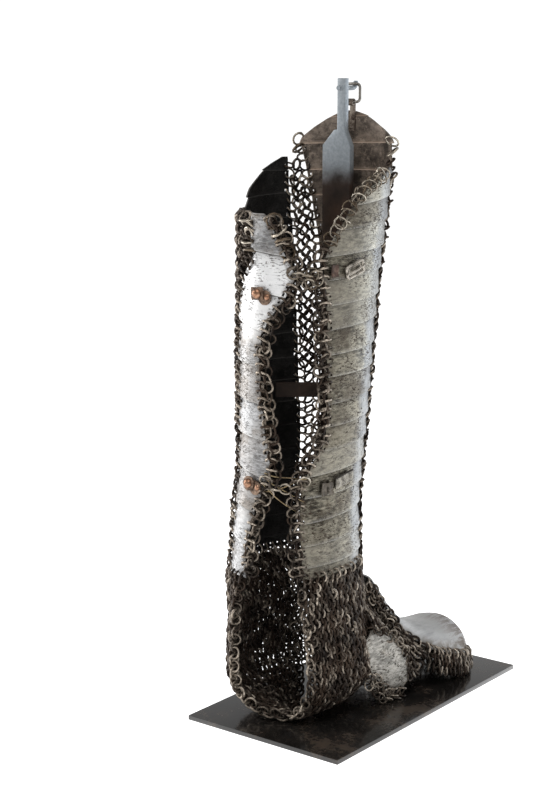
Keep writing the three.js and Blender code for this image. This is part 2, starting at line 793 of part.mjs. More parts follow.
function addLowerStrap() {
  const end = flatPiece(rectangle(strapLength, strapHeight), plateWall);
  const seat = seatOut(sidePitch, sidePhase, strapLevel - chapeLength, strapLevel + strapHeight / 2);
  add('strap_end', onLeg(end, strapAngle, strapLevel, seat), 'mail');
  const bitWidth = chapeLength / 2;
  const step = bitWidth + clearance * 2;
  for (const [index, name] of ['strap_leather_front', 'strap_leather_back'].entries()) {
    const beside = turnOf(strapLength / 2 + step * (index + 0.6));
    const bit = flatPiece(rectangle(bitWidth, chapeLength), leatherWall);
    add(name, onLeg(bit, strapAngle - beside, strapLevel - strapHeight / 2, seat), 'leather');
  }
}

// A short chain of rings that draws the opening together, as a tube.
function tie(fromAngle, toAngle, height) {
  const ends = [fromAngle, toAngle].map((angle) => legPoint(angle, height, mailMiddle));
  const path = new THREE.LineCurve3(...ends);
  return new THREE.ExtrudeGeometry(disc(tieDiameter), { steps: 2, curveSegments: 4, extrudePath: path });
}

add('base_plate', basePlate(), 'stand');
add('post', post(), 'stand');
add('hanging_link', hangingLink(), 'mail');
add('apex_tab', apexTab(), 'washer');
add('shin_plate', lamedPlate(shinEdges, shinPitch, 0, 8), 'plate');
add('inner_plate', lamedPlate(innerEdges, sidePitch, sidePhase, 7), 'plate');
add('outer_plate', lamedPlate(outerEdges, sidePitch, sidePhase, 8), 'plate');
add('back_splint', lamedPlate(splintEdges, splintPitch, 0, 4), 'splint');
for (const [name, strip] of Object.entries(mails)) {
  const columns = name.endsWith('fringe') ? 1 : 2;
  add(name, legMail(strip.from, strip.to, hemHeight, strip.top, columns, strip.tables), 'mail');
}
add('ankle_mail', ankleMail(), 'mail');
add('heel_mail', heelMail(), 'mail');
add('instep_mail_outer', instepMail(1), 'mail');
add('instep_mail_inner', instepMail(-1), 'mail');
add('toe_mail', toeMail(), 'mail');
add('toe_cap', capShape(0, plateWall), 'plate');
add('ankle_plate_outer', anklePlate(1), 'plate');
add('ankle_plate_inner', anklePlate(-1), 'plate');

addRivets('upper', 271, upperRivetLevel, rectangle(washerWidth, washerWidth * 0.85));
addRivets('lower', 265, lowerRivetLevel, disc(washerWidth));
addBuckle();
addLowerStrap();
const tiePlaces = { upper_tie: buckleLevel - 1, lower_tie: lowerRivetLevel };
for (const [name, level] of Object.entries(tiePlaces)) {
  const splintSide = name === 'upper_tie'
    ? edge(splintEdges, 'to')(level) + 3 * seam
    : mails.splint_fringe.to(level) + 3 * seam;
  add(name, tie(splintSide - 360, mails.outer_fringe.from(level) - 3 * seam, level), 'mail');
}

export default group;
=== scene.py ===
import json
from math import cos, pi, radians, sin

import bmesh
import bpy
import numpy as np
from mathutils import Euler, Matrix, Vector, noise

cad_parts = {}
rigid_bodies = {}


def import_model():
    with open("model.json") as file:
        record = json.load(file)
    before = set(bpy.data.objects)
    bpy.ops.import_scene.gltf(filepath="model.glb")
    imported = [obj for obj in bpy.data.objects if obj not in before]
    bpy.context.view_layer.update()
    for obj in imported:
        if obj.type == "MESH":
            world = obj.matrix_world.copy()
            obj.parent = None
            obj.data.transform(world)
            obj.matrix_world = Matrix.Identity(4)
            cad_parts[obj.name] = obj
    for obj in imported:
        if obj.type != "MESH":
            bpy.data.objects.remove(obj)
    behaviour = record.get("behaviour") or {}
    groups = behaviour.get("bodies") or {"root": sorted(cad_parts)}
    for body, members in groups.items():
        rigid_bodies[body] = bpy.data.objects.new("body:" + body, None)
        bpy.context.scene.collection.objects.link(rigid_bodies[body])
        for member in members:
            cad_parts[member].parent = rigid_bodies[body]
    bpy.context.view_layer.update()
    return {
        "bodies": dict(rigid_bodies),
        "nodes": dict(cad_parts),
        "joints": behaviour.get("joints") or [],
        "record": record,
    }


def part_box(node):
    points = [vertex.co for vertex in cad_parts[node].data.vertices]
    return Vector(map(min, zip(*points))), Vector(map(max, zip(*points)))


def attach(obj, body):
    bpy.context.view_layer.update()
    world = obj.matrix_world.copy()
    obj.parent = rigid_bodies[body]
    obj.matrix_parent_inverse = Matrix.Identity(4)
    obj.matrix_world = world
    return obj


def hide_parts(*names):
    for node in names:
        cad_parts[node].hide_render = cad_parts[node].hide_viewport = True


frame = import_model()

# Camera: a long lens at the photograph's height, a little above the greave's knee, looking
# down past its open back from behind and the outer side.
camera_place = Vector((0.789958, -1.142562, 0.528887))
camera_turn = 38.0065
camera_drop = 10.7671
camera_lens = 73.96

camera = bpy.data.objects.new("camera", bpy.data.cameras.new("camera"))
camera.data.lens = camera_lens
camera.data.sensor_width = 36
camera.location = camera_place
camera.rotation_euler = Euler((radians(90 - camera_drop), 0, radians(camera_turn)))
bpy.context.scene.collection.objects.link(camera)
bpy.context.scene.camera = camera


# Studio: a white sweep under and behind the stand, two tall soft boxes and an overhead one.
# The left box lights the splint, the right one draws the bright line down the outer plate; both are helped by
# a painted highlight and a painted reflection in the plates' colours.
class Shade:
    """A socket of a finish. Sums and products of it add the Math nodes that they need."""

    def __init__(self, tree, socket=None):
        self.tree = tree
        self.socket = socket

    def node(self, kind, settings=None, links=None, out=0):
        made = self.tree.nodes.new("ShaderNode" + kind)
        for name, value in (settings or {}).items():
            if name == "stops":
                ramp = made.color_ramp.elements
                while len(ramp) < len(value):
                    ramp.new(0.5)
                for stop, (place, colour) in zip(ramp, value):
                    stop.position = place
                    stop.color = (*colour, 1) if len(colour) == 3 else colour
            else:
                setattr(made, name, value)
        for name, value in (links or {}).items():
            if isinstance(value, Shade):
                self.tree.links.new(value.socket, made.inputs[name])
            else:
                made.inputs[name].default_value = value
        return Shade(self.tree, made.outputs[out]) if made.outputs else made

    def math(self, operation, *values):
        return self.node("Math", {"operation": operation}, dict(enumerate(values)))

    def __add__(self, other):
        return self.math("ADD", self, other)

    __radd__ = __add__

    def __sub__(self, other):
        return self.math("SUBTRACT", self, other)

    def __rsub__(self, other):
        return self.math("SUBTRACT", other, self)

    def __mul__(self, other):
        return self.math("MULTIPLY", self, other)

    __rmul__ = __mul__

    def above(self, low, high):
        """0 where the socket is below low, 1 above high, and a smooth step between."""
        links = {"Value": self, "From Min": low, "From Max": high}
        return self.node("MapRange", {"interpolation_type": "SMOOTHSTEP"}, links)

    def noise(self, scale, detail=4.0, rough=0.55):
        links = {"Vector": self, "Scale": scale, "Detail": detail, "Roughness": rough}
        return self.node("TexNoise", {}, links)

    def spots(self, scale):
        return self.node("TexVoronoi", {}, {"Vector": self, "Scale": scale})

    def stretched(self, x, y, z):
        links = {0: self, 1: (x, y, z)}
        return self.node("VectorMath", {"operation": "MULTIPLY"}, links)

    def given(self, name):
        """A value that the mesh gives at each of its points."""
        return self.node("Attribute", {"attribute_name": name}, out=2)

    def ramp(self, *stops):
        """Colours along the socket's values, each at its place."""
        return self.node("ValToRGB", {"stops": stops}, {0: self})

    def along(self, axis):
        return self.node("SeparateXYZ", {}, {0: self}, out="XYZ".index(axis))

    def tinted(self, share, colour):
        """This colour with another laid over it by a share."""
        links = {0: share, 6: self, 7: colour}
        if not isinstance(colour, Shade):
            links[7] = (*colour, 1)
        return self.node("Mix", {"data_type": "RGBA"}, links, out=2)


def finish_named(name):
    """A new empty finish: the material, and the place on the object in metres."""
    made = bpy.data.materials.new(name)
    made.use_nodes = True
    made.node_tree.nodes.clear()
    return made, Shade(made.node_tree).node("TexCoord", out="Object")


def coated(place, colour, roughness, metallic, bump=None, depth=0.0003, **constants):
    """Ends a finish with its surface shader."""
    links = {"Base Color": colour, "Roughness": roughness, "Metallic": metallic}
    if bump is not None:
        links["Normal"] = place.node("Bump", {}, {"Height": bump, "Distance": depth, "Strength": 1.0})
    links.update({name.replace("_", " "): value for name, value in constants.items()})
    surface = place.node("BsdfPrincipled", {}, links)
    place.node("OutputMaterial", {"is_active_output": True}, {"Surface": surface})


floor_half = 4.0
floor_glow = 0.85
sky_seen = 1.1
sky_light = 0.36
aim = (0, -0.06, 0.3)


def soft_box(name, place, target, width, height, power, colour=(1, 1, 1)):
    lamp = bpy.data.lights.new(name, "AREA")
    lamp.shape = "RECTANGLE"
    lamp.size = width
    lamp.size_y = height
    lamp.energy = power
    lamp.color = colour
    obj = bpy.data.objects.new(name, lamp)
    obj.location = place
    obj.rotation_euler = (Vector(target) - Vector(place)).to_track_quat("-Z", "Y").to_euler()
    bpy.context.scene.collection.objects.link(obj)


def white_floor():
    made, place = finish_named("white_floor")
    shade = place.noise(3.0, 2.0).above(0.3, 0.7) * 0.01 + 0.9
    colour = place.node("CombineColor", {}, {0: shade, 1: shade, 2: shade})
    coated(place, colour, 0.6, 0.0, Emission_Color=(1, 1, 1, 1), Emission_Strength=floor_glow)
    corners = [(x * floor_half, y * floor_half, 0) for x, y in ((-1, -1), (1, -1), (1, 1), (-1, 1))]
    mesh = bpy.data.meshes.new("floor")
    mesh.from_pydata(corners, [], [(0, 1, 2, 3)])
    mesh.materials.append(made)
    floor = bpy.data.objects.new("floor", mesh)
    bpy.context.scene.collection.objects.link(floor)


white_floor()
soft_box("left_box", (-1.9, -0.6, 0.7), aim, 0.7, 1.6, 32)
soft_box("right_box", (0.75, 1.75, 0.6), aim, 0.6, 1.5, 13, (0.85, 0.92, 1.0))
soft_box("top_box", (0.6, -0.7, 2.1), (0, -0.05, 0.2), 1.2, 1.2, 24)


def studio_sky():
    """White behind the stand, and dimmer where it lights and mirrors in the metal."""
    world = bpy.data.worlds.new("studio")
    world.use_nodes = True
    world.node_tree.nodes.clear()
    bpy.context.scene.world = world
    sky = Shade(world.node_tree)
    light, seen = [sky.node("Background", {}, {"Color": (1, 1, 1, 1), "Strength": strength})
                   for strength in (sky_light, sky_seen)]
    mixed = sky.node("MixShader", {}, {0: sky.node("LightPath"), 1: light, 2: seen})
    sky.node("OutputWorld", {}, {"Surface": mixed})


studio_sky()
bpy.context.scene.view_settings.view_transform = "Standard"


# Base plate of the stand: 4 mm steel plate, waxed nearly black over brown mottled scale.
# It lies flat on the floor and carries the post.
def piece_from(name, vertices, faces, material, attributes, sharp, nodes):
    """Adds a piece of the object, riding on the stand's one body, in place of CAD nodes."""
    mesh = bpy.data.meshes.new(name)
    mesh.from_pydata([tuple(v) for v in vertices], [], [tuple(f) for f in faces])
    for label, values in attributes.items():
        mesh.attributes.new(label, "FLOAT", "POINT").data.foreach_set("value", values)
    piece_of(name, mesh, material, sharp, nodes)


def piece_of(name, mesh, material, sharp, nodes):
    mesh.materials.append(material)
    mesh.shade_smooth()
    mesh.set_sharp_from_angle(angle=radians(sharp))
    mesh.update()
    piece = bpy.data.objects.new(name, mesh)
    bpy.context.scene.collection.objects.link(piece)
    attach(piece, "root")
    if nodes:
        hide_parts(*nodes)


def bevelled(made, width):
    """Rounds every edge of a bmesh that is sharper than a fold."""
    edges = [e for e in made.edges if e.is_manifold and e.calc_face_angle(0) > 0.5]
    bmesh.ops.bevel(made, geom=edges, offset=width, segments=2, affect="EDGES", profile=0.6)


def box_mesh(low, high, rounding):
    made = bmesh.new()
    bmesh.ops.create_cube(made, size=1)
    middle = (Vector(low) + Vector(high)) / 2
    size = Vector(high) - Vector(low)
    bmesh.ops.transform(made, matrix=Matrix.LocRotScale(middle, None, size), verts=made.verts)
    bevelled(made, rounding)
    return made


def mesh_of(made, name, turned_out=True):
    """Ends a bmesh as a mesh, by default with its faces turned outwards."""
    mesh = bpy.data.meshes.new(name)
    if turned_out:
        bmesh.ops.recalc_face_normals(made, faces=made.faces)
    made.to_mesh(mesh)
    made.free()
    return mesh


def solid_piece(name, made, material, sharp, node):
    """Ends a bmesh as a piece that stands for one CAD node, or for none."""
    piece_of(name, mesh_of(made, name), material, sharp, [node] if node else [])


def waxed_steel():
    made, place = finish_named("waxed_base_steel")
    cloud = place.noise(22.0, 8.0, 0.62)
    fine = place.noise(260.0, 5.0, 0.6)
    flecks = (cloud * 0.65 + fine * 0.35).above(0.5, 0.62) * 0.6
    base = cloud.ramp((0.3, (0.006, 0.0055, 0.005)), (0.75, (0.022, 0.019, 0.017)))
    colour = base.tinted(flecks, (0.08, 0.057, 0.04))
    rough = cloud.above(0.35, 0.75) * 0.14 + 0.16 + flecks * 0.12
    bump = fine * 0.4 + cloud * 0.6
    coated(place, colour, rough, 0.25, bump, 0.00025, Coat_Weight=0.6, Coat_Roughness=0.07)
    return made


base_low, base_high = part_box("base_plate")
base_rounding = 0.0005
base_mesh = mesh_of(box_mesh(base_low, base_high, base_rounding), "stand_base", False)
piece_of("stand_base", base_mesh, waxed_steel(), 30, ["base_plate"])


# Post: a 28 by 6 mm flat bar with chamfered shoulders, drawn in to a narrow neck. A round pin
# is welded through the neck and turned up at its end, and a bar is welded across the back.
post_low, post_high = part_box("post")
link_low, link_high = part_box("hanging_link")
hook_x = (link_low.x + link_high.x) / 2
hook_y = (link_low.y + link_high.y) / 2
post_width = 0.028
post_depth = 0.006
neck_width = 0.0075
neck_height = 0.042
neck_side = 0.002
post_side = -0.0025
shoulder_drop = 0.013
shoulder_ledge = 0.003
pin_radius = 0.002
pin_reach = 0.019
pin_rise = 0.006
pin_below_top = 0.008
pin_stub = 0.001
pin_straight = 0.85
spreader_size = (0.050, 0.004, 0.0125)
spreader_level = 0.275
spreader_turn = 38
post_rounding = 0.0006
spreader_rounding = 0.0004
post_y = hook_y - pin_reach + 2 * pin_radius


def tube_faces(count, sides, closed=False):
    """Faces round a tube of count rings of points, closed on itself or with its ends filled."""
    faces = []
    for row in range(count if closed else count - 1):
        here, there = row * sides, (row + 1) % count * sides
        for step in range(sides):
            beside = (step + 1) % sides
            faces.append((here + step, here + beside, there + beside, there + step))
    if not closed:
        faces.append(tuple(range(sides))[::-1])
        faces.append(tuple(range((count - 1) * sides, count * sides)))
    return faces


def swept(path, radius, sides, closed=False):
    """Vertices and faces of a round bar along a path of points."""
    path = np.array(path, float)
    ahead = np.roll(path, -1, 0) - np.roll(path, 1, 0)
    if not closed:
        ahead[0] = path[1] - path[0]
        ahead[-1] = path[-1] - path[-2]
    ahead /= np.linalg.norm(ahead, axis=1)[:, None]
    side = np.cross(ahead[0], (0.3, 0.5, 0.81))
    vertices = []
    for point, forward in zip(path, ahead):
        side = side - forward * (side @ forward)
        side /= np.linalg.norm(side)
        up = np.cross(forward, side)
        for step in range(sides):
            turn = 2 * pi * step / sides
            vertices.append(point + radius * (side * cos(turn) + up * sin(turn)))
    return vertices, tube_faces(len(path), sides, closed)


def add_faces(made, vertices, faces):
    new = [made.verts.new(tuple(v)) for v in vertices]
    for face in faces:
        made.faces.new([new[i] for i in face])


def pulled(made, outline, step):
    """A face from an outline, pulled into a slab."""
    face = made.faces.new([made.verts.new(point) for point in outline])
    grown = bmesh.ops.extrude_face_region(made, geom=[face])
    moved = [v for v in grown["geom"] if isinstance(v, bmesh.types.BMVert)]
    bmesh.ops.translate(made, vec=step, verts=moved)
    bmesh.ops.recalc_face_normals(made, faces=made.faces)


def post():
    top = post_high.z
    shoulder = top - neck_height
    right = neck_side - post_side + neck_width / 2
    left = right - neck_width
    half = post_width / 2
    outline = [(-half, post_low.z), (half, post_low.z), (half, shoulder - shoulder_drop), (right, shoulder),
               (right, top), (left, top), (left, shoulder), (left - shoulder_ledge, shoulder),
               (-half, shoulder - shoulder_drop)]
    middle = hook_x + post_side
    rear = post_y - post_depth / 2
    made = bmesh.new()
    pulled(made, [(middle + x, rear, z) for x, z in outline], (0, post_depth, 0))
    bevelled(made, post_rounding)
    level = top - pin_below_top
    bend = [(hook_x, rear - pin_stub, level)]
    bend += [(hook_x, post_y + pin_reach * share, level) for share in (0.3, 0.6, pin_straight)]
    for step in range(1, 9):
        turn = pi / 2 * step / 8
        reach = pin_reach * pin_straight + (pin_reach * (1 - pin_straight) + pin_radius) * sin(turn)
        bend.append((hook_x, post_y + reach, level + pin_rise * 0.6 * (1 - cos(turn))))
    bend.append((hook_x, post_y + pin_reach + pin_radius, level + pin_rise))
    add_faces(made, *swept(bend, pin_radius, 14))
    length, thickness, height = spreader_size
    bar = box_mesh((-length, -thickness / 2, -height / 2), (0, thickness / 2, height / 2), spreader_rounding)
    bmesh.ops.rotate(bar, matrix=Matrix.Rotation(radians(spreader_turn), 3, "Z"), verts=bar.verts)
    bmesh.ops.translate(bar, vec=(middle, rear, spreader_level), verts=bar.verts)
    made.from_mesh(mesh_of(bar, "spreader", False))
    piece_of("stand_post", mesh_of(made, "stand_post", False), post_steel(), 35, ["post"])


def post_steel():
    """Glossy near-black steel, painted with what mirrors in it: a satin blue-grey band of the studio at the
    top, and the greave's brown below.
    """
    made, place = finish_named("post_steel")
    height = place.along("Z")
    cloud = place.noise(38.0, 7.0, 0.6)
    fine = place.noise(420.0, 5.0, 0.6)
    # Painted reflection: rubbed marks the top of the post, painted blue-grey where the studio mirrors in the
    # glossy steel; the dark brown below is the greave mirrored in it.
    rubbed = (height + cloud * 0.04).above(0.468, 0.492)
    brown = cloud.ramp((0.35, (0.016, 0.010, 0.007)), (0.7, (0.06, 0.034, 0.022)))
    steel = fine.ramp((0.3, (0.2, 0.225, 0.245)), (0.7, (0.29, 0.315, 0.335)))
    colour = brown.tinted(rubbed, steel)
    rough = 0.52 - rubbed * 0.12 + fine * 0.08
    coated(place, colour, rough, 0.35, fine, 0.0001)
    return made


post()


# Leg plates: sheets of 1.4 mm steel, rolled to the calf and embossed in lames that flare to
# their lower edges like shingles. Rings of the mail pass through small holes along their rims.
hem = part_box("shin_plate")[0].z
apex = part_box("shin_plate")[1].z
calf_width = 0.104
calf_depth = 0.134
knee_side = -0.004
knee_back = -0.060
leg_lean = 0.021
girth_turn = 4 / (calf_width + calf_depth) * 180 / pi  # degrees about the leg to a metre of girth
plate_wall = 0.0014
lame_step = 0.0021
lip_rise = 0.0003
least_step = 0.0006
hem_lift = 0.003
lip_steps = (0, lip_rise, 0.0012)
first_step = 0.0034
last_step = 0.0022
shadow_step = 0.0011
hole_row = 0.0015
hole_inset = 0.0020
hole_size = 0.0018
hem_margin = 0.004
ring_step = 0.0072
narrow_plate = 0.022
end_fade = 0.006
slant_fade = 0.02
jag_turn = 0.35
lame_shift = 0.0009
lame_tilt = 0.0022
shadow_reach = 0.0009
rubbed_reach = 0.001
rim_band = 0.01
dent_depth = 0.00035
fine_dent_depth = 0.00012

# Columns: share of the plates' height, of the lean, of the calf's width and of its depth.
leg_sections = np.array([
    (-0.12, 0.8, 0.96, 0.95),
    (-0.03, 1.0, 0.92, 0.955),
    (0.06, 0.95, 0.88, 0.93),
    (0.15, 0.9, 0.855, 0.91),
    (0.24, 0.71, 0.845, 0.9),
    (0.33, 0.62, 0.875, 0.93),
    (0.49, 0.5, 0.92, 0.96),
    (0.6, 0.4, 0.94, 0.97),
    (0.71, 0.26, 0.98, 0.99),
    (0.78, 0.17, 1.02, 1.01),
    (0.88, -0.05, 1.03, 1.0),
    (1.03, -0.1, 1.06, 0.985),
])

# Columns: share of the plates' height, and the angles of the two side edges about the leg,
# counted from the outer side towards the toes.
shin_edges = np.array([
    (0.0, 62, 120), (0.35, 62, 121), (0.58, 62, 123), (0.71, 60, 127), (0.81, 54, 135), (0.93, 44, 147),
    (0.944, 56, 145), (0.966, 74, 135), (0.984, 86, 125), (0.994, 95, 117), (1.0, 102, 111),
])
inner_edges = np.array([
    (0.0, 134, 221), (0.24, 136, 221), (0.35, 139, 220), (0.58, 145, 219), (0.76, 151, 212),
    (0.8, 153, 204), (0.835, 155, 199), (0.868, 157, 184), (0.893, 158, 167), (0.9, 159, 163),
])
splint_edges = np.array([
    (0.0, 238, 268), (0.05, 238, 265), (0.13, 239, 271), (0.25, 239, 287), (0.32, 240, 281),
    (0.41, 241, 275), (0.51, 240, 272), (0.57, 240, 280), (0.62, 241, 295), (0.665, 251, 303),
    (0.7, 261, 295), (0.784, 257, 277), (0.794, 257, 272),
])
outer_edges = np.array([
    (0.0, -39, 41), (0.18, -43, 41), (0.23, -41, 41), (0.31, -24, 41), (0.4, -25, 41), (0.61, -31, 41),
    (0.7, -37, 41), (0.75, -29, 40), (0.8, -19, 39), (0.842, -6, 38), (0.873, 17, 38), (0.882, 30, 37),
])


def up_leg(share):
    """The height at a share of the plates' height."""
    return hem + (apex - hem) * share


def share_of(height):
    return (height - hem) / (apex - hem)


def leg_point(angle, height, out=0.0):
    """Points of the leg tube at angles in degrees and heights, out outside its middle."""
    up = share_of(height)
    lean, wide, deep = [np.interp(up, leg_sections[:, 0], leg_sections[:, i]) for i in (1, 2, 3)]
    turn = np.radians(angle)
    x = knee_side - leg_lean * lean + (wide * calf_width / 2 + out) * np.cos(turn)
    y = knee_back + (deep * calf_depth / 2 + out) * np.sin(turn)
    return np.stack(np.broadcast_arrays(x, y, height), -1)


def unit(vectors):
    return vectors / np.maximum(np.linalg.norm(vectors, axis=-1, keepdims=True), 1e-12)


def leg_frame(angle, height):
    """Directions along the leg's girth, up the leg and out of it."""
    girth = unit(leg_point(angle + 0.5, height) - leg_point(angle - 0.5, height))
    rise = unit(leg_point(angle, height + 0.004) - leg_point(angle, height - 0.004))
    return girth, rise, unit(np.cross(girth, rise))


def edge_at(edges, side, height):
    return np.interp(share_of(height), edges[:, 0], edges[:, side])


def run_along(path):
    """The length of a path of points up to each of them."""
    return np.concatenate([[0], np.cumsum(np.linalg.norm(np.diff(path, axis=0), axis=1))])


def soft_noise(points, scale, seed):
    """Smooth noise from -1 to 1 at an array of points."""
    flat = points.reshape(-1, 3) * scale + seed
    return np.array([noise.noise(Vector(p)) for p in flat]).reshape(points.shape[:-1])


def sheet_faces(rows, columns, holes):
    """Faces of a closed sheet from an inner and an outer grid of points, less its holes."""
    def index(row, column, side):
        return (side * rows + row) * columns + column
    faces = []
    for row in range(rows - 1):
        for column in range(columns - 1):
            ring = [(row, column), (row, column + 1), (row + 1, column + 1), (row + 1, column)]
            if not holes[row, column]:
                faces.append([index(*corner, 1) for corner in ring])
                faces.append([index(*corner, 0) for corner in ring[::-1]])
            around = [(row - 1, column), (row, column + 1), (row + 1, column), (row, column - 1)]
            for side, (near_row, near_column) in enumerate(around):
                outside = not (0 <= near_row < rows - 1 and 0 <= near_column < columns - 1)
                beyond = outside or holes[near_row, near_column]
                if beyond and not holes[row, column]:
                    a, b = ring[side], ring[(side + 1) % 4]
                    faces.append([index(*b, 1), index(*a, 1), index(*a, 0), index(*b, 0)])
    return faces


def lame_rows(pitch, phase, top):
    """Heights of a plate's rows of points, and the lames' lower edges."""
    lips = np.arange(hem - phase * pitch, top + pitch, pitch)
    steps = np.array([*lip_steps, *np.arange(first_step, pitch - last_step, hole_size), pitch - shadow_step])
    rows = np.sort(np.concatenate([lip + steps for lip in lips]))
    rows = rows[(rows > hem + least_step) & (rows < top - least_step)]
    return np.concatenate([[hem], rows, [top]]), lips


def rim_places(edges, *tops):
    """Heights along the two side edges of a plate, an even distance apart along each edge."""
    places = {}
    for side, top in enumerate(tops, 1):
        heights = np.linspace(hem + hem_margin, up_leg(top), 800)
        run = run_along(leg_point(edge_at(edges, side, heights), heights))
        places[side] = np.interp(np.arange(0, run[-1], ring_step), run, heights)
    return places


def thick_sheet(middle, normals):
    """An inner and an outer grid of points, a plate's wall apart."""
    return np.stack([middle - normals * plate_wall / 2, middle + normals * plate_wall / 2])


def on_both(shape, **values):
    """Values for both faces of a sheet, with which of them is the inside."""
    spread = {name: np.tile(np.broadcast_to(value, shape).ravel(), 2) for name, value in values.items()}
    return {**spread, "inside": np.repeat([1.0, 0.0], shape[0] * shape[1])}


def lamed_plate(name, edges, pitch, phase, seed, finish, node, rims, slant=0.0):
    draw = np.random.default_rng(seed)
    top = up_leg(edges[-1, 0])
    rows, lips = lame_rows(pitch, phase, top)
    lame = np.clip(np.searchsorted(lips, rows + 1e-6) - 1, 0, len(lips) - 2)
    share = (rows - lips[lame]) / pitch
    upright = share[:, None]
    near_end = np.minimum(rows - hem, top - rows)
    jag = draw.uniform(-jag_turn, jag_turn, (len(lips) + 1, 2))
    half_width = (edge_at(edges, 2, rows) - edge_at(edges, 1, rows)) / girth_turn / 2
    tip = np.clip(near_end / slant_fade, 0, 1) * slant * half_width
    start = edge_at(edges, 1, rows - tip) + jag[lame, 0]
    end = edge_at(edges, 2, rows + tip) + jag[lame, 1]
    width = (end - start) / girth_turn

    # Columns: a few close ones along each rim, for the holes, and even ones between them.
    squeeze = np.minimum(1, width / narrow_plate)[:, None]
    rim = np.array([0, least_step, hole_inset, hole_inset + hole_size])
    inner_columns = max(8, int(np.median(width) / hole_size))
    middle = np.linspace(0, 1, inner_columns + 2)[None, 1:-1]
    left = rim[None] * squeeze
    right = width[:, None] - left[:, ::-1]
    inner = left[:, -1:] + middle * (right[:, :1] - left[:, -1:])
    across = np.concatenate([left, inner, right], 1)
    angle = start[:, None] + across * girth_turn

    # Each lame's lip lies a little askew, and its neighbour's follows it.
    shift = draw.uniform(-lame_shift, lame_shift, len(lips) + 1)
    slope = draw.uniform(-lame_tilt, lame_tilt, len(lips) + 1)
    swing = across / np.maximum(width, 1e-4)[:, None] - 0.5
    below, above = [shift[lame + k][:, None] + slope[lame + k][:, None] * swing for k in (0, 1)]
    free = np.clip(near_end / end_fade, 0, 1)[:, None]
    height = rows[:, None] + tip[:, None] * 2 * swing + free * (below * (1 - upright) + above * upright)

    # under is a painted shadow: full on each lip's ledge, and fading down the lame below the lip of the lame
    # above.
    rise = (rows - lips[lame]) / lip_rise
    under = np.where(rise < 0.5, 1.0, np.exp(-(pitch - rise * lip_rise) / shadow_reach))
    worn = np.where(rise < 0.5, 0.0, np.exp(-(rise - 1) * lip_rise / rubbed_reach))
    out = (lame_step * np.where(rise < 1, rise, 1 - share) * np.clip((top - rows) / 0.004, 0, 1))[:, None]
    surface = leg_point(angle, height)
    outward = leg_frame(angle, height)[2]
    dents = dent_depth * soft_noise(surface, 28, seed) + fine_dent_depth * soft_noise(surface, 110, seed + 5)
    points = thick_sheet(surface + outward * (out + dents)[..., None], outward)

    holes = np.zeros((len(rows) - 1, angle.shape[1] - 1), bool)
    tall = np.flatnonzero(np.diff(rows) > hole_row)
    for side, places in rims.items():
        column = 2 if side == 1 else -3
        for place in places:
            row = tall[np.argmin(abs(height[tall, column] + hole_size / 2 - place))]
            holes[row, column] = squeeze[row, 0] > 0.6
    low = tall[np.argmax(rows[tall] - hem > hole_row)]
    for place in np.arange(hem_margin, width[0] - hem_margin, ring_step):
        holes[low, np.argmin(abs((across[0, :-1] + across[0, 1:]) / 2 - place))] = True

    to_rim = np.minimum(np.minimum(across, width[:, None] - across), near_end[:, None])
    tone = draw.uniform(0, 1, len(lips) + 1)[lame]
    attributes = on_both(angle.shape, lame=upright, under=under[:, None], worn=worn[:, None],
                         rim=np.clip(to_rim / rim_band, 0, 1), tone=tone[:, None],
                         level=share_of(rows)[:, None], side=np.clip(0.5 + angle / 360, 0, 1))
    faces = sheet_faces(len(rows), angle.shape[1], holes)
    piece_from(name, points.reshape(-1, 3), faces, finish, attributes, 35, [node])


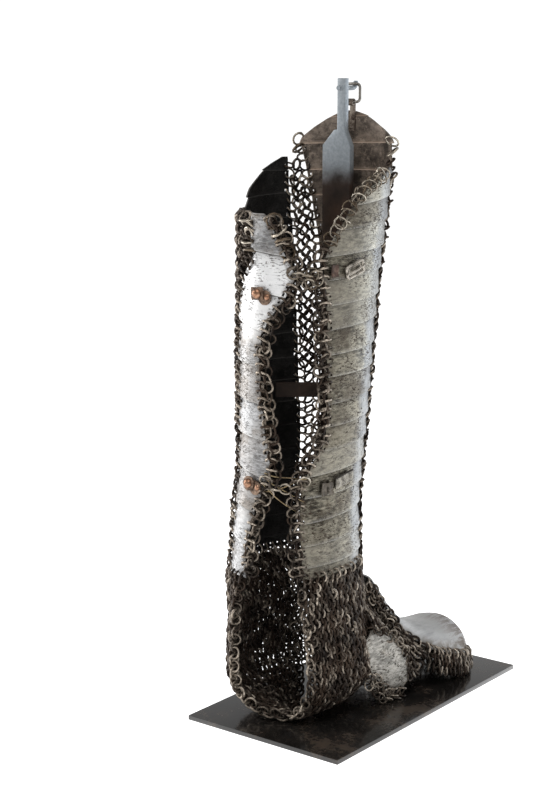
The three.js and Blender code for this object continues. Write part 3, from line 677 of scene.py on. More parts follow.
def old_steel(name, dark, light, warm, pits, gloss, wash, back=(0.035, 0.03, 0.027), highlight_band=(2.0, 3.0),
              reflection_start=None):
    """Hammered steel with rust-brown pits, grey stains and brighter rubbed edges, painted shadows under the
    lames' lips and, where the back colour is near black, painted shade on the inside; where asked, a painted
    highlight band and a painted reflection strip.
    """
    made, place = finish_named(name)
    names = ("lame", "under", "worn", "rim", "tone", "inside", "level")
    lame, below, lip, rim, tone, inside, level = [place.given(kind) for kind in names]
    cloud = place.noise(26.0, 7.0, 0.62)
    streak = place.stretched(0.5, 0.5, 1.6).noise(260.0, 9.0, 0.78)
    grain = place.noise(900.0, 4.0, 0.6)
    steel = (cloud * 0.4 + streak * 0.6).ramp((0.42, dark), (0.56, light))
    stained = steel.tinted(place.noise(34.0, 8.0, 0.72).above(0.48, 0.68) * 0.75, warm)
    speck = place.stretched(0.5, 0.5, 1.5).noise(560.0, 5.0, 0.62).above(0.53, 0.59)
    pitted = speck * place.noise(75.0, 4.0).above(0.36, 0.6)
    colour = stained.tinted(pitted * pits, (0.05, 0.035, 0.025))
    low, high = highlight_band
    # A painted highlight: the colour turns near white in a band between two of the plate's levels.
    bright = level.above(low - 0.02, low + 0.03) * (1 - level.above(high, high + 0.02))
    colour = colour.tinted(bright * (0.7 - pitted * 0.6), (0.95, 0.95, 0.95))
    if reflection_start is not None:
        # A painted reflection: a cool grey-blue strip down the outer plate past the given angle about the
        # leg, on the far side of its fold.
        ridge = (place.given("side") + cloud * 0.05).above(0.512 + reflection_start / 360, 0.548 + reflection_start / 360)
        colour = colour.tinted(ridge * (0.5 - pitted * 0.4), (0.42, 0.45, 0.49))
    # Painted shadow under the lips: near black where under is high, and a patchy painted shade over the top
    # of each lame, under the overhang of the lame above.
    overhang_shade = lame.above(0.7, 1.0) * cloud.above(0.4, 0.6) * 0.35
    colour = colour.tinted((below * (0.75 + tone * 0.25)).above(0.1, 0.75) + overhang_shade, (0.014, 0.011, 0.008))
    colour = colour.tinted(lip * grain.above(0.3, 0.6) * 0.45, (0.6, 0.59, 0.56))
    dirty = (1 - rim.above(0.1, 0.75)) * place.noise(160.0, 4.0).above(0.42, 0.62) * 0.6
    colour = colour.tinted(dirty, (0.11, 0.085, 0.06))
    colour = colour.tinted((tone - 0.5).above(0.0, 0.5) * 0.3, wash)
    colour = colour.tinted((0.5 - tone).above(0.0, 0.5) * cloud.above(0.36, 0.6) * 0.55, warm)
    # The inside of the plate takes the back colour, mottled and scraped lighter. Where that colour is near
    # black, as by default and on the inner plate, it is painted shade in the leg's hollow; the shin plate's
    # brown is its own.
    darkest, darker, lighter, lightest = [tuple(v * share for v in back) for share in (0.16, 0.22, 1.7, 1.9)]
    scraped = place.noise(210.0, 7.0, 0.75).above(0.53, 0.6) * place.noise(45.0, 4.0).above(0.38, 0.56)
    rear = place.noise(60.0, 8.0, 0.72).ramp((0.4, darker), (0.62, back)).tinted(scraped * 0.5, lighter)
    rear = rear.tinted(streak.above(0.5, 0.38) * 0.55, darkest).tinted(lip * 0.75, lightest)
    colour = colour.tinted(inside, rear)
    rough = gloss + cloud.above(0.35, 0.7) * 0.16 + pitted * 0.3 + grain * 0.06 + dirty * 0.25
    bump = grain * 0.25 + streak * 0.35 - pitted * 0.7
    coated(place, colour, rough + inside * 0.1, 0.85 - inside * 0.35, bump, 0.00022)
    return made


side_pitch = 0.020
shin_pitch = 0.022
splint_pitch = 0.030
side_phase = 0.5
lame_slant = 0.07
splint_slant = -0.16
# Degrees about the leg past which the outer plate is painted with a reflection strip beside its fold.
fold_reflection_start = 14
# Levels of the splint's painted highlight band, as shares of the plates' height.
splint_highlight_band = (0.53, 0.7)
outer_steel = old_steel("outer_plate_steel", (0.016, 0.014, 0.01), (0.28, 0.256, 0.2), (0.045, 0.031, 0.02),
                        1.0, 0.3, (0.36, 0.34, 0.29), reflection_start=fold_reflection_start)
# Its near-black back colour is painted shade inside the leg's hollow.
inner_steel = old_steel("inner_plate_steel", (0.06, 0.058, 0.052), (0.25, 0.245, 0.23), (0.12, 0.1, 0.075),
                        0.7, 0.36, (0.2, 0.2, 0.2), (0.03, 0.028, 0.026))
shin_steel = old_steel("shin_plate_steel", (0.05, 0.045, 0.038), (0.24, 0.225, 0.2), (0.12, 0.085, 0.055),
                       0.9, 0.38, (0.19, 0.18, 0.17), (0.36, 0.29, 0.235))
splint_steel = old_steel("splint_steel", (0.14, 0.14, 0.14), (0.42, 0.42, 0.425), (0.2, 0.17, 0.14),
                         0.45, 0.36, (0.5, 0.5, 0.5), highlight_band=splint_highlight_band)
shin_rims = rim_places(shin_edges, 0.93, 0.93)
inner_rims = rim_places(inner_edges, 0.893, 0.79)
outer_rims = rim_places(outer_edges, 0.875, 0.875)
splint_rims = rim_places(splint_edges, 0.784, 0.784)
lamed_plate("shin_lames", shin_edges, shin_pitch, 0, 3, shin_steel, "shin_plate", shin_rims)
lamed_plate("inner_lames", inner_edges, side_pitch, side_phase, 4, inner_steel, "inner_plate",
            inner_rims)
lamed_plate("outer_lames", outer_edges, side_pitch, side_phase, 5, outer_steel, "outer_plate",
            outer_rims, lame_slant)
lamed_plate("splint_lames", splint_edges, splint_pitch, 0, 6, splint_steel, "back_splint",
            splint_rims, splint_slant)


# Mail between the plates: iron rings 10 mm across, each through four others, set slantwise one
# way in one row and the other way in the next, so that they cross. Rings along the plates'
# rims pass through their holes.
ring_radius = 0.0043
ring_wire = 0.0009
strip_pitch = 0.0092
strip_rows = 0.0046
strip_slant = 57
strip_wire = 0.0011
strip_radius = ring_radius * 1.07
rim_margin = 0.0048
ring_sides = 12
wire_sides = 5
ring_tip = 0.1
ring_drift = 0.00022
weld_swell = 0.35
weld_turn = 0.28


class Rings:
    """Rings gathered for one piece, each a round wire bent in a circle about its centre."""

    def __init__(self, seed):
        self.draw = np.random.default_rng(seed)
        self.rings = []

    def add(self, centres, first, second, radius, wire, shine, loose=1.0):
        """first and second are directions in each ring's own plane."""
        count = len(centres)
        first, second = unit(first), unit(second)
        axis = unit(np.cross(first, second))
        tip = self.draw.normal(0, ring_tip * loose, (2, count, 1))
        first = unit(first + axis * tip[0])
        second = unit(np.cross(axis + second * tip[1], first))
        axis = np.cross(first, second)
        centres = centres + self.draw.normal(0, ring_drift * loose, centres.shape)
        depth = radius * np.hypot(first[:, 2], second[:, 2]) + wire * 1.5
        centres[:, 2] = np.maximum(centres[:, 2], base_high.z + depth)
        sizes = radius * self.draw.normal(1, 0.035, count)
        oval = self.draw.normal(1, 0.03, count)
        glow = np.clip(shine + self.draw.normal(0, 0.24, count), 0, 1)
        weld = self.draw.uniform(0, 2 * pi, count)
        wires = np.full(count, wire) * self.draw.normal(1, 0.05, count)
        self.rings.append((centres, first, second, axis, sizes, oval, glow, weld, wires))

    def piece(self, name, finish, nodes):
        """Makes all the rings one mesh."""
        joined = [np.concatenate(part) for part in zip(*self.rings)]
        *spread, sizes, oval, glow, weld, wires = [part.reshape(len(part), 1, 1, -1) for part in joined]
        turn = np.linspace(0, 2 * pi, ring_sides, endpoint=False).reshape(1, -1, 1, 1)
        round_wire = np.linspace(0, 2 * pi, wire_sides, endpoint=False).reshape(1, 1, -1, 1)
        gap = np.abs((turn - weld + pi) % (2 * pi) - pi)
        thick = wires * (1 + weld_swell * np.exp(-(gap / weld_turn) ** 2))
        reach = sizes + thick * np.cos(round_wire)
        centres, first, second, axis = spread
        points = centres + reach * np.cos(turn) * oval * first + reach * np.sin(turn) / oval * second
        points = points + thick * np.sin(round_wire) * axis
        ring = np.arange(len(centres))[:, None, None] * ring_sides * wire_sides
        here = np.arange(ring_sides)[None, :, None]
        edge = np.arange(wire_sides)[None, None, :]
        faces = np.stack([ring + (here + a) % ring_sides * wire_sides + (edge + b) % wire_sides
                          for a, b in ((0, 0), (1, 0), (1, 1), (0, 1))], -1)
        glows = np.repeat(glow, ring_sides * wire_sides)
        piece_from(name, points.reshape(-1, 3), faces.reshape(-1, 4).tolist(), finish, {"glow": glows},
                   180, nodes)


def ring_iron():
    """Wrought wire: near black and brown with age, bright where it rubs."""
    made, place = finish_named("ring_iron")
    glow = place.given("glow")
    cloud = place.noise(60.0, 5.0)
    grain = place.noise(700.0, 3.0)
    dark = cloud.ramp((0.35, (0.014, 0.01, 0.008)), (0.7, (0.055, 0.037, 0.026)))
    bright = grain.ramp((0.3, (0.21, 0.17, 0.13)), (0.7, (0.48, 0.42, 0.35)))
    colour = dark.tinted((glow + (grain - 0.5) * 0.5).above(0.15, 0.95), bright)
    rough = 0.5 - glow * 0.2 + grain * 0.12
    coated(place, colour, rough, 0.85, grain, 0.0001)
    return made


def by_turns(count):
    """A column of -1 and 1 in turn."""
    return np.where(np.arange(count) % 2, 1, -1)[:, None]


def weave(rings, surface, rows, pitch, lean, margins, shine, size, anchor=0.5, loose=1.0, keep=None,
          slant=None):
    """Rows of rings over a surface. surface(row, shares) gives points across one row."""
    shares = np.linspace(0, 1, 81)
    step = abs(rows[1] - rows[0]) * 0.2
    for number, row in enumerate(rows):
        run = run_along(surface(row, shares))
        count = int(run[-1] / pitch) + 2
        places = run[-1] * anchor + pitch * (np.arange(-count, count + 1) + (number % 2) / 2)
        places = places[(places > margins[0]) & (places < run[-1] - margins[1])]
        at = np.interp(places, run, shares)
        if keep is not None:
            at = at[keep(row, at)]
        if not len(at):
            continue
        across = unit(surface(row, at + 0.004) - surface(row, at - 0.004))
        down = unit(surface(row + step, at) - surface(row - step, at))
        out = unit(np.cross(across, down))
        side = 1 if number % 2 else -1
        turned = across * cos(radians(lean)) + side * out * sin(radians(lean))
        if slant is not None:
            down = unit(across * side + down)
            turned = unit(np.cross(out, down)) * sin(radians(slant)) + out * cos(radians(slant))
        rings.add(surface(row, at), turned, down, *size, shine, loose)


def rim_rings(rings, edges, side, places, radius=ring_radius, wire=ring_wire, shine=0.42, slant=45,
              inset=0.0032):
    """Rings through the holes along a plate's side edge, lying half over the plate."""
    angle = edge_at(edges, side, places)
    below, above = [leg_point(edge_at(edges, side, places + lift), places + lift) for lift in (-0.002, 0.002)]
    along = unit(above - below)
    girth, _, out = leg_frame(angle, places)
    away = unit(np.cross(along, out))
    away = away * np.sign(np.sum(away * girth, -1, keepdims=True)) * (-1 if side == 1 else 1)
    tilt = np.radians(slant + rings.draw.normal(0, 9, len(places)))[:, None]
    up = out * np.cos(tilt) + along * np.sin(tilt)
    centres = leg_point(angle, places, lame_step / 2) + away * (radius - inset)
    rings.add(centres, away, up, radius, wire, shine)
    return centres, away, along, out


mail_iron = ring_iron()


def mail_strip(name, node, seed, low, high, top):
    """A strip that joins two plates; low and high are their edges, rim places and sides."""
    rings = Rings(seed)

    def surface(height, share):
        start, end = [edge_at(edges, side, height) for edges, _, side in (low, high)]
        return leg_point(start + (end - start) * share, height, lame_step / 2)

    rows = np.arange(hem + hem_lift, up_leg(top), strip_rows)
    weave(rings, surface, rows, strip_pitch, 0, (rim_margin, rim_margin), 0.26, (strip_radius, strip_wire),
          slant=strip_slant)
    for edges, rims, side in (low, high):
        rim_rings(rings, edges, side, rims[side])
    rings.piece(name, mail_iron, [node])


shin_start, shin_end = (shin_edges, shin_rims, 1), (shin_edges, shin_rims, 2)
inner_start, inner_end = (inner_edges, inner_rims, 1), (inner_edges, inner_rims, 2)
splint_start, outer_end = (splint_edges, splint_rims, 1), (outer_edges, outer_rims, 2)
mail_strip("shin_inner_rings", "shin_inner_mail", 11, shin_end, inner_start, 0.893)
mail_strip("shin_outer_rings", "shin_outer_mail", 12, outer_end, shin_start, 0.88)
mail_strip("splint_rings", "splint_mail", 13, inner_end, splint_start, 0.79)


# Free edges of the mail at the back opening: iron rings through the rims of the splint and of
# the outer plate, with two looser rows hung on them.
fringe_radius = 0.0052
fringe_wire = 0.00096
fringe_reach = 0.005
free_part = 0.72


def between(places):
    return (places[1:] + places[:-1]) / 2


def hung_row(rings, line, away, along, out, reach, radius, wire, shine, lift, loose=1.0):
    """A row of rings laid almost flat, each hung between two rings of the row before."""
    centres = between(line) + between(away) * reach
    up = between(out) * by_turns(len(centres))
    turned = between(away) * cos(radians(lift)) + up * sin(radians(lift))
    rings.add(centres, between(along), turned, radius, wire, shine, loose)


def fringe(name, node, seed, edges, side, places, top):
    rings = Rings(seed)
    kept = places[places < up_leg(top)]
    row = rim_rings(rings, edges, side, kept, fringe_radius * 0.86, fringe_wire, 0.5, 30)
    hung_row(rings, *row, fringe_reach, fringe_radius * 0.92, fringe_wire, 0.4, 22, 2.6)
    hung_row(rings, *row, fringe_reach * 0.35, fringe_radius * 0.86, fringe_wire, 0.3, 60, 3.2)
    rings.piece(name, mail_iron, [node])


fringe("splint_fringe_rings", "splint_fringe", 21, splint_edges, 2, splint_rims[2], 0.79)
fringe("outer_fringe_rings", "outer_fringe", 22, outer_edges, 1, outer_rims[1], free_part)


# Bronze rings along the outer plate's slanted top: large thin ones, open like a loose chain.
collar_wire = 0.0006
collar_radii = (0.0056, 0.0055)
collar_inset = 0.005


def bronze():
    """Old drawn bronze wire, dull brown, with bare yellow-grey metal in places."""
    made, place = finish_named("bronze_wire")
    glow = place.given("glow")
    grain = place.noise(800.0, 3.0)
    dull = place.noise(90.0, 5.0).ramp((0.35, (0.05, 0.036, 0.024)), (0.7, (0.15, 0.11, 0.072)))
    colour = dull.tinted((glow + (grain - 0.5) * 0.6).above(0.2, 0.95), (0.42, 0.375, 0.31))
    coated(place, colour, 0.42 - glow * 0.14 + grain * 0.1, 0.9, grain, 0.0001)
    return made


bronze_metal = bronze()


def collar_rings():
    rings = Rings(23)
    places = outer_rims[1][outer_rims[1] > up_leg(free_part)]
    row = rim_rings(rings, outer_edges, 1, places, collar_radii[0], collar_wire, 0.6, 16, collar_inset)
    hung_row(rings, *row, 0.001, collar_radii[1], collar_wire, 0.5, 24)
    rings.piece("collar_rings", bronze_metal, [])


collar_rings()


# Single rings that still hang in the corners of the plates: large open ones of old wire, where
# the mail that they joined has torn away.
loose_inset = 0.0022
loose_slants = (-20, 35, 90)

# Columns: share of the plates' height, radius and wire, for each edge in turn.
loose_places = (
    (splint_edges, 1, ((0.779, 0.0064, 0.0008), (0.768, 0.0060, 0.0011), (0.752, 0.0056, 0.0011),
                       (0.735, 0.0058, 0.0010), (0.716, 0.0052, 0.0010))),
    (splint_edges, 2, ((0.775, 0.0066, 0.0009), (0.755, 0.0066, 0.0012), (0.735, 0.0066, 0.0013),
                       (0.712, 0.0056, 0.0011))),
    (shin_edges, 1, ((0.93, 0.0058, 0.0008), (0.915, 0.0052, 0.0010))),
    (shin_edges, 2, ((0.935, 0.0050, 0.0010), (0.92, 0.0052, 0.0011))),
    (outer_edges, 2, ((0.86, 0.0056, 0.0010), (0.84, 0.0050, 0.0010))),
)


def loose_rings():
    rings = Rings(24)
    for edges, side, kept in loose_places:
        for share, radius, wire in kept:
            slant = loose_slants[len(rings.rings) % 3]
            rim_rings(rings, edges, side, np.array([up_leg(share)]), radius, wire, 0.55, slant, loose_inset)
    rings.piece("loose_rings", bronze_metal, [])


loose_rings()


# Ankle and heel: one hose of mail below the plates, hung from rings in their hems. It is open
# at the back like the leg, and its lower end is a sling that passes under the heel.
row_step = 0.0037
ring_pitch = 0.0054
mail_radius = 0.0042
mail_wire = 0.00115
mail_lean = 38
mail_out = 0.00075
ankle_height = 0.040
clearance = 0.00035
base_top = base_high.z
ankle_low = hem - ankle_height
ankle_top = hem - 0.0045
ankle_border_top = hem - 0.002
hem_ring_lift = 0.0003
hem_ring_out = lame_step * 0.6
ankle_start = outer_edges[0, 1]
ankle_end = splint_edges[0, 1] + 5
ankle_end_top = splint_edges[0, 2] - 6
heel_back = 0.101
sole_length = 0.022
sole_side = -0.006
heel_bend = 0.042
heel_flares = {1: (0.009, 0.5), -1: (0.006, 0.2)}
sling_outer = 24
sling_inner = 128
sling_straight = 0.3
sling_low = base_top + clearance + 0.0040
mail_size = (mail_radius, mail_wire)
border_pitch = 0.0058
border_size = (0.0047, 0.00095)
sling_pitch = 0.0060
sling_size = (0.0048, 0.00095)
leg_axis = np.array([sole_side - 0.004, knee_back, 0.08])


def ankle_surface(height, share):
    end = ankle_end + (ankle_end_top - ankle_end) * np.clip((height - ankle_low) / ankle_height, 0, 1)
    return leg_point(ankle_start + (end - ankle_start) * share, height, mail_out)


def sling_surface(v, u):
    """The heel sling: v runs from the inner side, under the heel, to the outer side."""
    side = -1 if v < 0.5 else 1
    climb = abs(v - 0.5) * 2
    first, last = (ankle_end, sling_inner) if side < 0 else (ankle_start, sling_outer)
    turn = min(1, climb / (1 - sling_straight)) * pi / 2
    height = heel_bend - (heel_bend - sling_low) * cos(turn)
    if climb > 1 - sling_straight:
        height = heel_bend + (ankle_low - heel_bend) * (climb - 1 + sling_straight) / sling_straight
    hung = leg_point(first + (last - first) * u, ankle_low, mail_out)
    point = np.stack([np.full_like(u, sole_side), -heel_back + sole_length * u, np.zeros_like(u)], -1)
    point = point + (hung - point) * sin(turn)
    flare, least = heel_flares[side]
    bulge = sin(pi * (height - sling_low) / (ankle_low - sling_low))
    point[..., 0] += side * flare * (least + (1 - least) * u) * bulge
    point[..., 2] = height
    return point


def even_rows(path, spacing):
    """Parameters an even distance apart along a path of points."""
    shares = np.linspace(0, 1, 600)
    run = run_along(path(shares))
    count = max(2, round(run[-1] / spacing))
    return np.interp(np.linspace(0, run[-1], count + 1), run, shares)


def chain(rings, path, spacing, size, shine, lean):
    """Large rings along an edge, turned one way and the other like the links of a chain."""
    shares = even_rows(path, spacing)
    centres = path(shares)
    along = unit(path(np.clip(shares + 0.01, 0, 1)) - path(np.clip(shares - 0.01, 0, 1)))
    outward = unit(centres - leg_axis)
    out = unit(outward - along * np.sum(outward * along, -1, keepdims=True))
    turned = out * by_turns(len(centres)) * sin(radians(lean)) + np.cross(along, out) * cos(radians(lean))
    rings.add(centres, along, turned, *size, shine, 1.6)


def hem_rings(rings, edges):
    """Rings from the holes in a plate's lower rim down to the first row of the ankle mail."""
    start, end = edges[0, 1:]
    angle = start + np.arange(hem_margin, (end - start) / girth_turn - hem_margin, ring_step) * girth_turn
    girth, rise, out = leg_frame(angle, hem)
    centres = leg_point(angle, hem + hem_ring_lift, hem_ring_out)
    rings.add(centres, rise, out + girth * 0.4, ring_radius, ring_wire, 0.6)


def ankle_mail():
    rings = Rings(31)
    rows = np.arange(ankle_top, ankle_low - 0.001, -row_step)
    weave(rings, ankle_surface, rows, ring_pitch, mail_lean, (0.002, 0.002), 0.26, mail_size, loose=1.5)
    for edges in (splint_edges, shin_edges, inner_edges, outer_edges):
        hem_rings(rings, edges)
    for share in (0.0, 1.0):
        edge = lambda heights, share=share: np.array([
            ankle_surface(ankle_border_top - h * (ankle_border_top - ankle_low), share) for h in heights])
        chain(rings, edge, border_pitch, border_size, 0.45, 50)
    rings.piece("ankle_rings", mail_iron, ["ankle_mail"])


ankle_mail()


def sling_line(u):
    """The path round the sling at a share of its depth."""
    return lambda shares: np.array([sling_surface(v, np.array(u)) for v in shares])


def heel_mail():
    rings = Rings(32)
    rows = even_rows(sling_line(0.35), row_step)
    weave(rings, sling_surface, rows[1:], ring_pitch, mail_lean, (0.003, 0.0), 0.2, mail_size, 0.0, 1.5)
    chain(rings, sling_line(0.0), sling_pitch, sling_size, 0.66, 52)
    chain(rings, sling_line(0.05), sling_pitch, border_size, 0.35, 25)
    rings.piece("heel_rings", mail_iron, ["heel_mail"])


heel_mail()


# Toe cap: one piece of 1.4 mm steel raised over the toes, with a tongue up the instep. Its rim
# is pierced for the mail that hangs from it.
toe_reach = 0.121
cap_length = 0.121
cap_width = 0.072
cap_height = 0.110
foot_turn = radians(8.5)
foot_side = 0.006
toe_drop = 0.015
skirt_start = 0.4

# Columns: share of the cap's length from the tongue to the nose, half width as a share of the
# cap's width, ridge and rim heights as shares of its height.
cap_stations = np.array([
    (0.0, 0.24, 1.0, 0.97), (0.06, 0.34, 0.9, 0.84), (0.13, 0.42, 0.79, 0.7), (0.25, 0.56, 0.64, 0.53),
    (0.37, 0.8, 0.55, 0.39), (0.5, 0.95, 0.505, 0.32), (0.63, 1.0, 0.485, 0.27), (0.75, 0.98, 0.485, 0.235),
    (0.84, 0.88, 0.465, 0.21), (0.91, 0.7, 0.41, 0.19), (0.96, 0.5, 0.33, 0.175), (0.99, 0.28, 0.245, 0.17),
    (1.0, 0.1, 0.195, 0.165),
])


def foot_point(across, along, height):
    x = foot_side + across * cos(foot_turn) + along * sin(foot_turn)
    y = along * cos(foot_turn) - across * sin(foot_turn)
    return np.stack(np.broadcast_arrays(x, y, height), -1)


def smooth_read(table, place, column):
    """A table's column read with a smooth curve through its rows."""
    keys, values = table[:, 0], table[:, column]
    slopes = np.gradient(values, keys)
    low = np.clip(np.searchsorted(keys, place, side="right") - 1, 0, len(keys) - 2)
    span = keys[low + 1] - keys[low]
    t = (place - keys[low]) / span
    a, b = values[low], values[low + 1]
    limit = np.abs(b - a) * 1.6
    m0 = np.clip(slopes[low] * span, -limit, limit)
    m1 = np.clip(slopes[low + 1] * span, -limit, limit)
    return ((2 * t ** 3 - 3 * t ** 2 + 1) * a + (t ** 3 - 2 * t ** 2 + t) * m0
            + (3 * t ** 2 - 2 * t ** 3) * b + (t ** 3 - t ** 2) * m1)


def cap_point(u, v, grow=0.0):
    """The cap's surface: v runs over it from the inner rim to the outer."""
    turn = (v * 2 - 1) * pi / 2
    half = smooth_read(cap_stations, u, 1) * cap_width / 2 + grow
    ridge = smooth_read(cap_stations, u, 2) * cap_height
    rim = smooth_read(cap_stations, u, 3) * cap_height
    return foot_point(half * np.sin(turn), toe_reach - cap_length * (1 - u),
                      rim + (ridge - rim) * np.cos(turn) - grow * 0.5)


def grid_normals(points):
    along = np.gradient(points, axis=0)
    across = np.gradient(points, axis=1)
    return unit(np.cross(across, along))


cap_grid = (92, 61)
cap_dents = (0.0005, 0.0001)


def sheet_grid(rows, columns):
    """Shares down and across a sheet, as a column and a row."""
    return np.linspace(0, 1, rows)[:, None], np.linspace(0, 1, columns)[None, :]


def dented(middle, normals, depths, *kinds):
    """A sheet beaten uneven, with a depth for each kind of dent; a kind is a scale and a seed."""
    dents = sum(depth * soft_noise(middle, *kind) for depth, kind in zip(depths, kinds))
    return middle + normals * dents[..., None]


def cap_steel():
    """Smooth grey steel, brushed, with brown rust streaks near the nose and along the rim."""
    made, place = finish_named("cap_steel")
    rim, inside, length = [place.given(kind) for kind in ("rim", "inside", "length")]
    cloud = place.noise(34.0, 6.0, 0.6)
    brush = place.stretched(1.0, 0.16, 1.0).noise(260.0, 6.0, 0.65)
    grain = place.noise(900.0, 4.0)
    steel = (cloud * 0.5 + brush * 0.5).ramp((0.34, (0.29, 0.287, 0.282)), (0.66, (0.58, 0.575, 0.565)))
    rust = length.above(0.5, 0.9) * (brush * 0.7 + cloud * 0.3).above(0.46, 0.56)
    speck = (1 - place.spots(520.0).above(0.08, 0.3)) * cloud.above(0.42, 0.6)
    colour = steel.tinted(rust * 0.8, (0.1, 0.065, 0.045))
    colour = colour.tinted(speck * 0.6, (0.09, 0.075, 0.06))
    dirty = (1 - rim.above(0.04, 0.42)) * length.above(0.25, 0.45) * place.noise(150.0, 5.0).above(0.36, 0.62)
    colour = colour.tinted(dirty * 0.7, (0.13, 0.1, 0.07))
    # Painted shade: the cap's inside turns near black towards the nose, deep under the shell.
    colour = colour.tinted(inside * length.above(0.22, 0.45) * 0.9, (0.04, 0.032, 0.026))
    rough = cloud * 0.12 + 0.58 + rust * 0.2 + dirty * 0.25
    coated(place, colour, rough, 0.4, brush * 0.5 + grain * 0.3, 0.0001)
    return made


def toe_cap():
    u, v = sheet_grid(*cap_grid)
    u = u ** 0.85
    middle = cap_point(u, v)
    normals = grid_normals(middle)
    points = thick_sheet(dented(middle, normals, cap_dents, (30, 8), (130, 9)), normals)
    holes = np.zeros((cap_grid[0] - 1, cap_grid[1] - 1), bool)
    holes[30:-6:3, [1, -2]] = True
    holes[66, 34] = True
    shares = on_both(cap_grid, rim=np.minimum(v, 1 - v) * 2, length=u)
    faces = [face[::-1] for face in sheet_faces(*cap_grid, holes)]
    piece_from("toe_cap_shell", points.reshape(-1, 3), faces, cap_steel(), shares, 40, ["toe_cap"])


toe_cap()


# Ankle plates: a domed lozenge of bright pitted steel over each ankle bone, laced into the
# mail by rings round its rim.
lozenge_length = 0.072
lozenge_width = 0.038
lozenge_spread = 0.068
lozenge_bulge = 0.004
lozenge_along = -0.009
lozenge_level = 0.044
lozenge_slope = radians(47)
lozenge_widths = np.array([
    (0.0, 0.3), (1 / 6, 0.72), (2 / 6, 0.95), (3 / 6, 1.0), (4 / 6, 0.95), (5 / 6, 0.78), (1.0, 0.34),
])
lozenge_grid = (37, 25)
lozenge_dents = (0.0004, 0.00015)


def lozenge_point(side, u, v, grow=0.0, out=0.0):
    half = smooth_read(lozenge_widths, np.clip(u, 0, 1), 1) * lozenge_width / 2 + grow
    run = (u - 0.5) * (lozenge_length + 2 * grow)
    off = (v * 2 - 1) * half
    along = lozenge_along + run * cos(lozenge_slope) + off * sin(lozenge_slope)
    height = lozenge_level - run * sin(lozenge_slope) + off * cos(lozenge_slope)
    dome = 1 - (u * 2 - 1) ** 2 / 2 - (v * 2 - 1) ** 2 / 2
    return foot_point(side * (lozenge_spread / 2 + lozenge_bulge * dome + out), along, height)


lozenge_steel = old_steel("ankle_plate_steel", (0.17, 0.165, 0.15), (0.52, 0.5, 0.46), (0.22, 0.18, 0.13),
                          1.0, 0.42, (0.3, 0.28, 0.24))


def ankle_plate(side, name, node):
    rows, columns = lozenge_grid
    u, v = sheet_grid(rows, columns)
    middle = lozenge_point(side, u, v)
    normals = grid_normals(middle)
    normals = normals * np.sign(normals[rows // 2, columns // 2, 0]) * side
    middle = dented(middle, normals, lozenge_dents, (45, 12), (150, 14))
    holes = np.zeros((rows - 1, columns - 1), bool)
    holes[int(rows * 0.6), int(columns * 0.52)] = True
    holes[3:-3:4, [1, -2]] = True
    rim = np.minimum(np.minimum(u, 1 - u) * 2, np.minimum(v, 1 - v) * 1.4)
    shares = on_both(lozenge_grid, lame=0.5, tone=0.4, level=0.0, rim=np.clip(rim * 4, 0, 1))
    faces = sheet_faces(rows, columns, holes)
    if side > 0:
        faces = [face[::-1] for face in faces]
    points = thick_sheet(middle, normals).reshape(-1, 3)
    piece_from(name, points, faces, lozenge_steel, shares, 40, [node])


ankle_plate(1, "ankle_lozenge_outer", "ankle_plate_outer")
ankle_plate(-1, "ankle_lozenge_inner", "ankle_plate_inner")


# Instep mail: hangs from the ankle band over the two sides of the instep, down to the lozenges
# and the edge of the toe cap's tongue. A short fringe borders each lozenge's lower side.
tongue_turns = {1: 76, -1: 114}
lozenge_seat = 0.88
corner_share = 0.6
tongue_rows = (0.0030, 0.0072, 0.0112)
tongue_back = np.array([0.0, -0.85, -0.5])
tongue_part = 0.36
instep_gap = 9 * clearance * girth_turn
cap_gap = plate_wall / 2 + clearance + 0.0013
instep_top = ankle_low - 0.0012
instep_floor = base_top + 0.006
tongue_shares = (0.37, 0.3, 0.22, 0.14)
lace_pitch = 0.0064
lace_size = (0.0047, 0.00075)
lace_reaches = (0.0, 0.0046, 0.0092)
tongue_pitch = 0.0056
tongue_size = (0.0043, 0.0009)


def instep_hem(side):
    rim = np.array(1.0 if side > 0 else 0.0)
    points = [lozenge_point(side, np.array(step / 4), np.array(lozenge_seat), clearance + plate_wall)
              for step in range(5)]
    corner = cap_point(np.array(skirt_start), rim, cap_gap)
    corner[2] -= toe_drop
    points.append(points[4] + (corner - points[4]) * corner_share)
    return np.array(points + [cap_point(np.array(share), rim, cap_gap) for share in tongue_shares])


def instep_mail(side, name, node, seed):
    rings = Rings(seed)
    hem_line = instep_hem(side)
    start = sling_outer + instep_gap if side > 0 else sling_inner - instep_gap
    shares = np.linspace(0, 1, len(hem_line))

    def low_edge(v):
        return np.stack([np.interp(v, shares, hem_line[:, i]) for i in range(3)], -1)

    def drop(v):
        return instep_top - low_edge(v)[..., 2]

    def surface(height, v):
        high = leg_point(start + (tongue_turns[side] - start) * v, instep_top, mail_out)
        share = (instep_top - height) / np.maximum(drop(v), 0.004)
        return high + (low_edge(v) - high) * share[..., None]

    rows = np.arange(instep_top, instep_floor, -row_step)
    keep = lambda height, v: instep_top - height <= drop(v) - 0.001
    weave(rings, surface, rows, ring_pitch, mail_lean, (0.0, 0.0), 0.26, mail_size, 0.5, 1.5, keep)
    laces = [(np.zeros_like, reach, 0.0004) for reach in lace_reaches] + [(np.ones_like, 0.0006, 0.0012)]
    for edge, reach, out in laces:
        lace = lambda u: lozenge_point(side, u, edge(u), reach, out)
        chain(rings, lace, lace_pitch, lace_size, 0.5, 35)
    rim = 1.0 if side > 0 else 0.0
    for back in tongue_rows:
        tongue = lambda share: (cap_point(share * tongue_part, np.full_like(share, rim), 0.0008)
                                + back * tongue_back)
        chain(rings, tongue, tongue_pitch, tongue_size, 0.45, 50)
    rings.piece(name, mail_iron, [node])


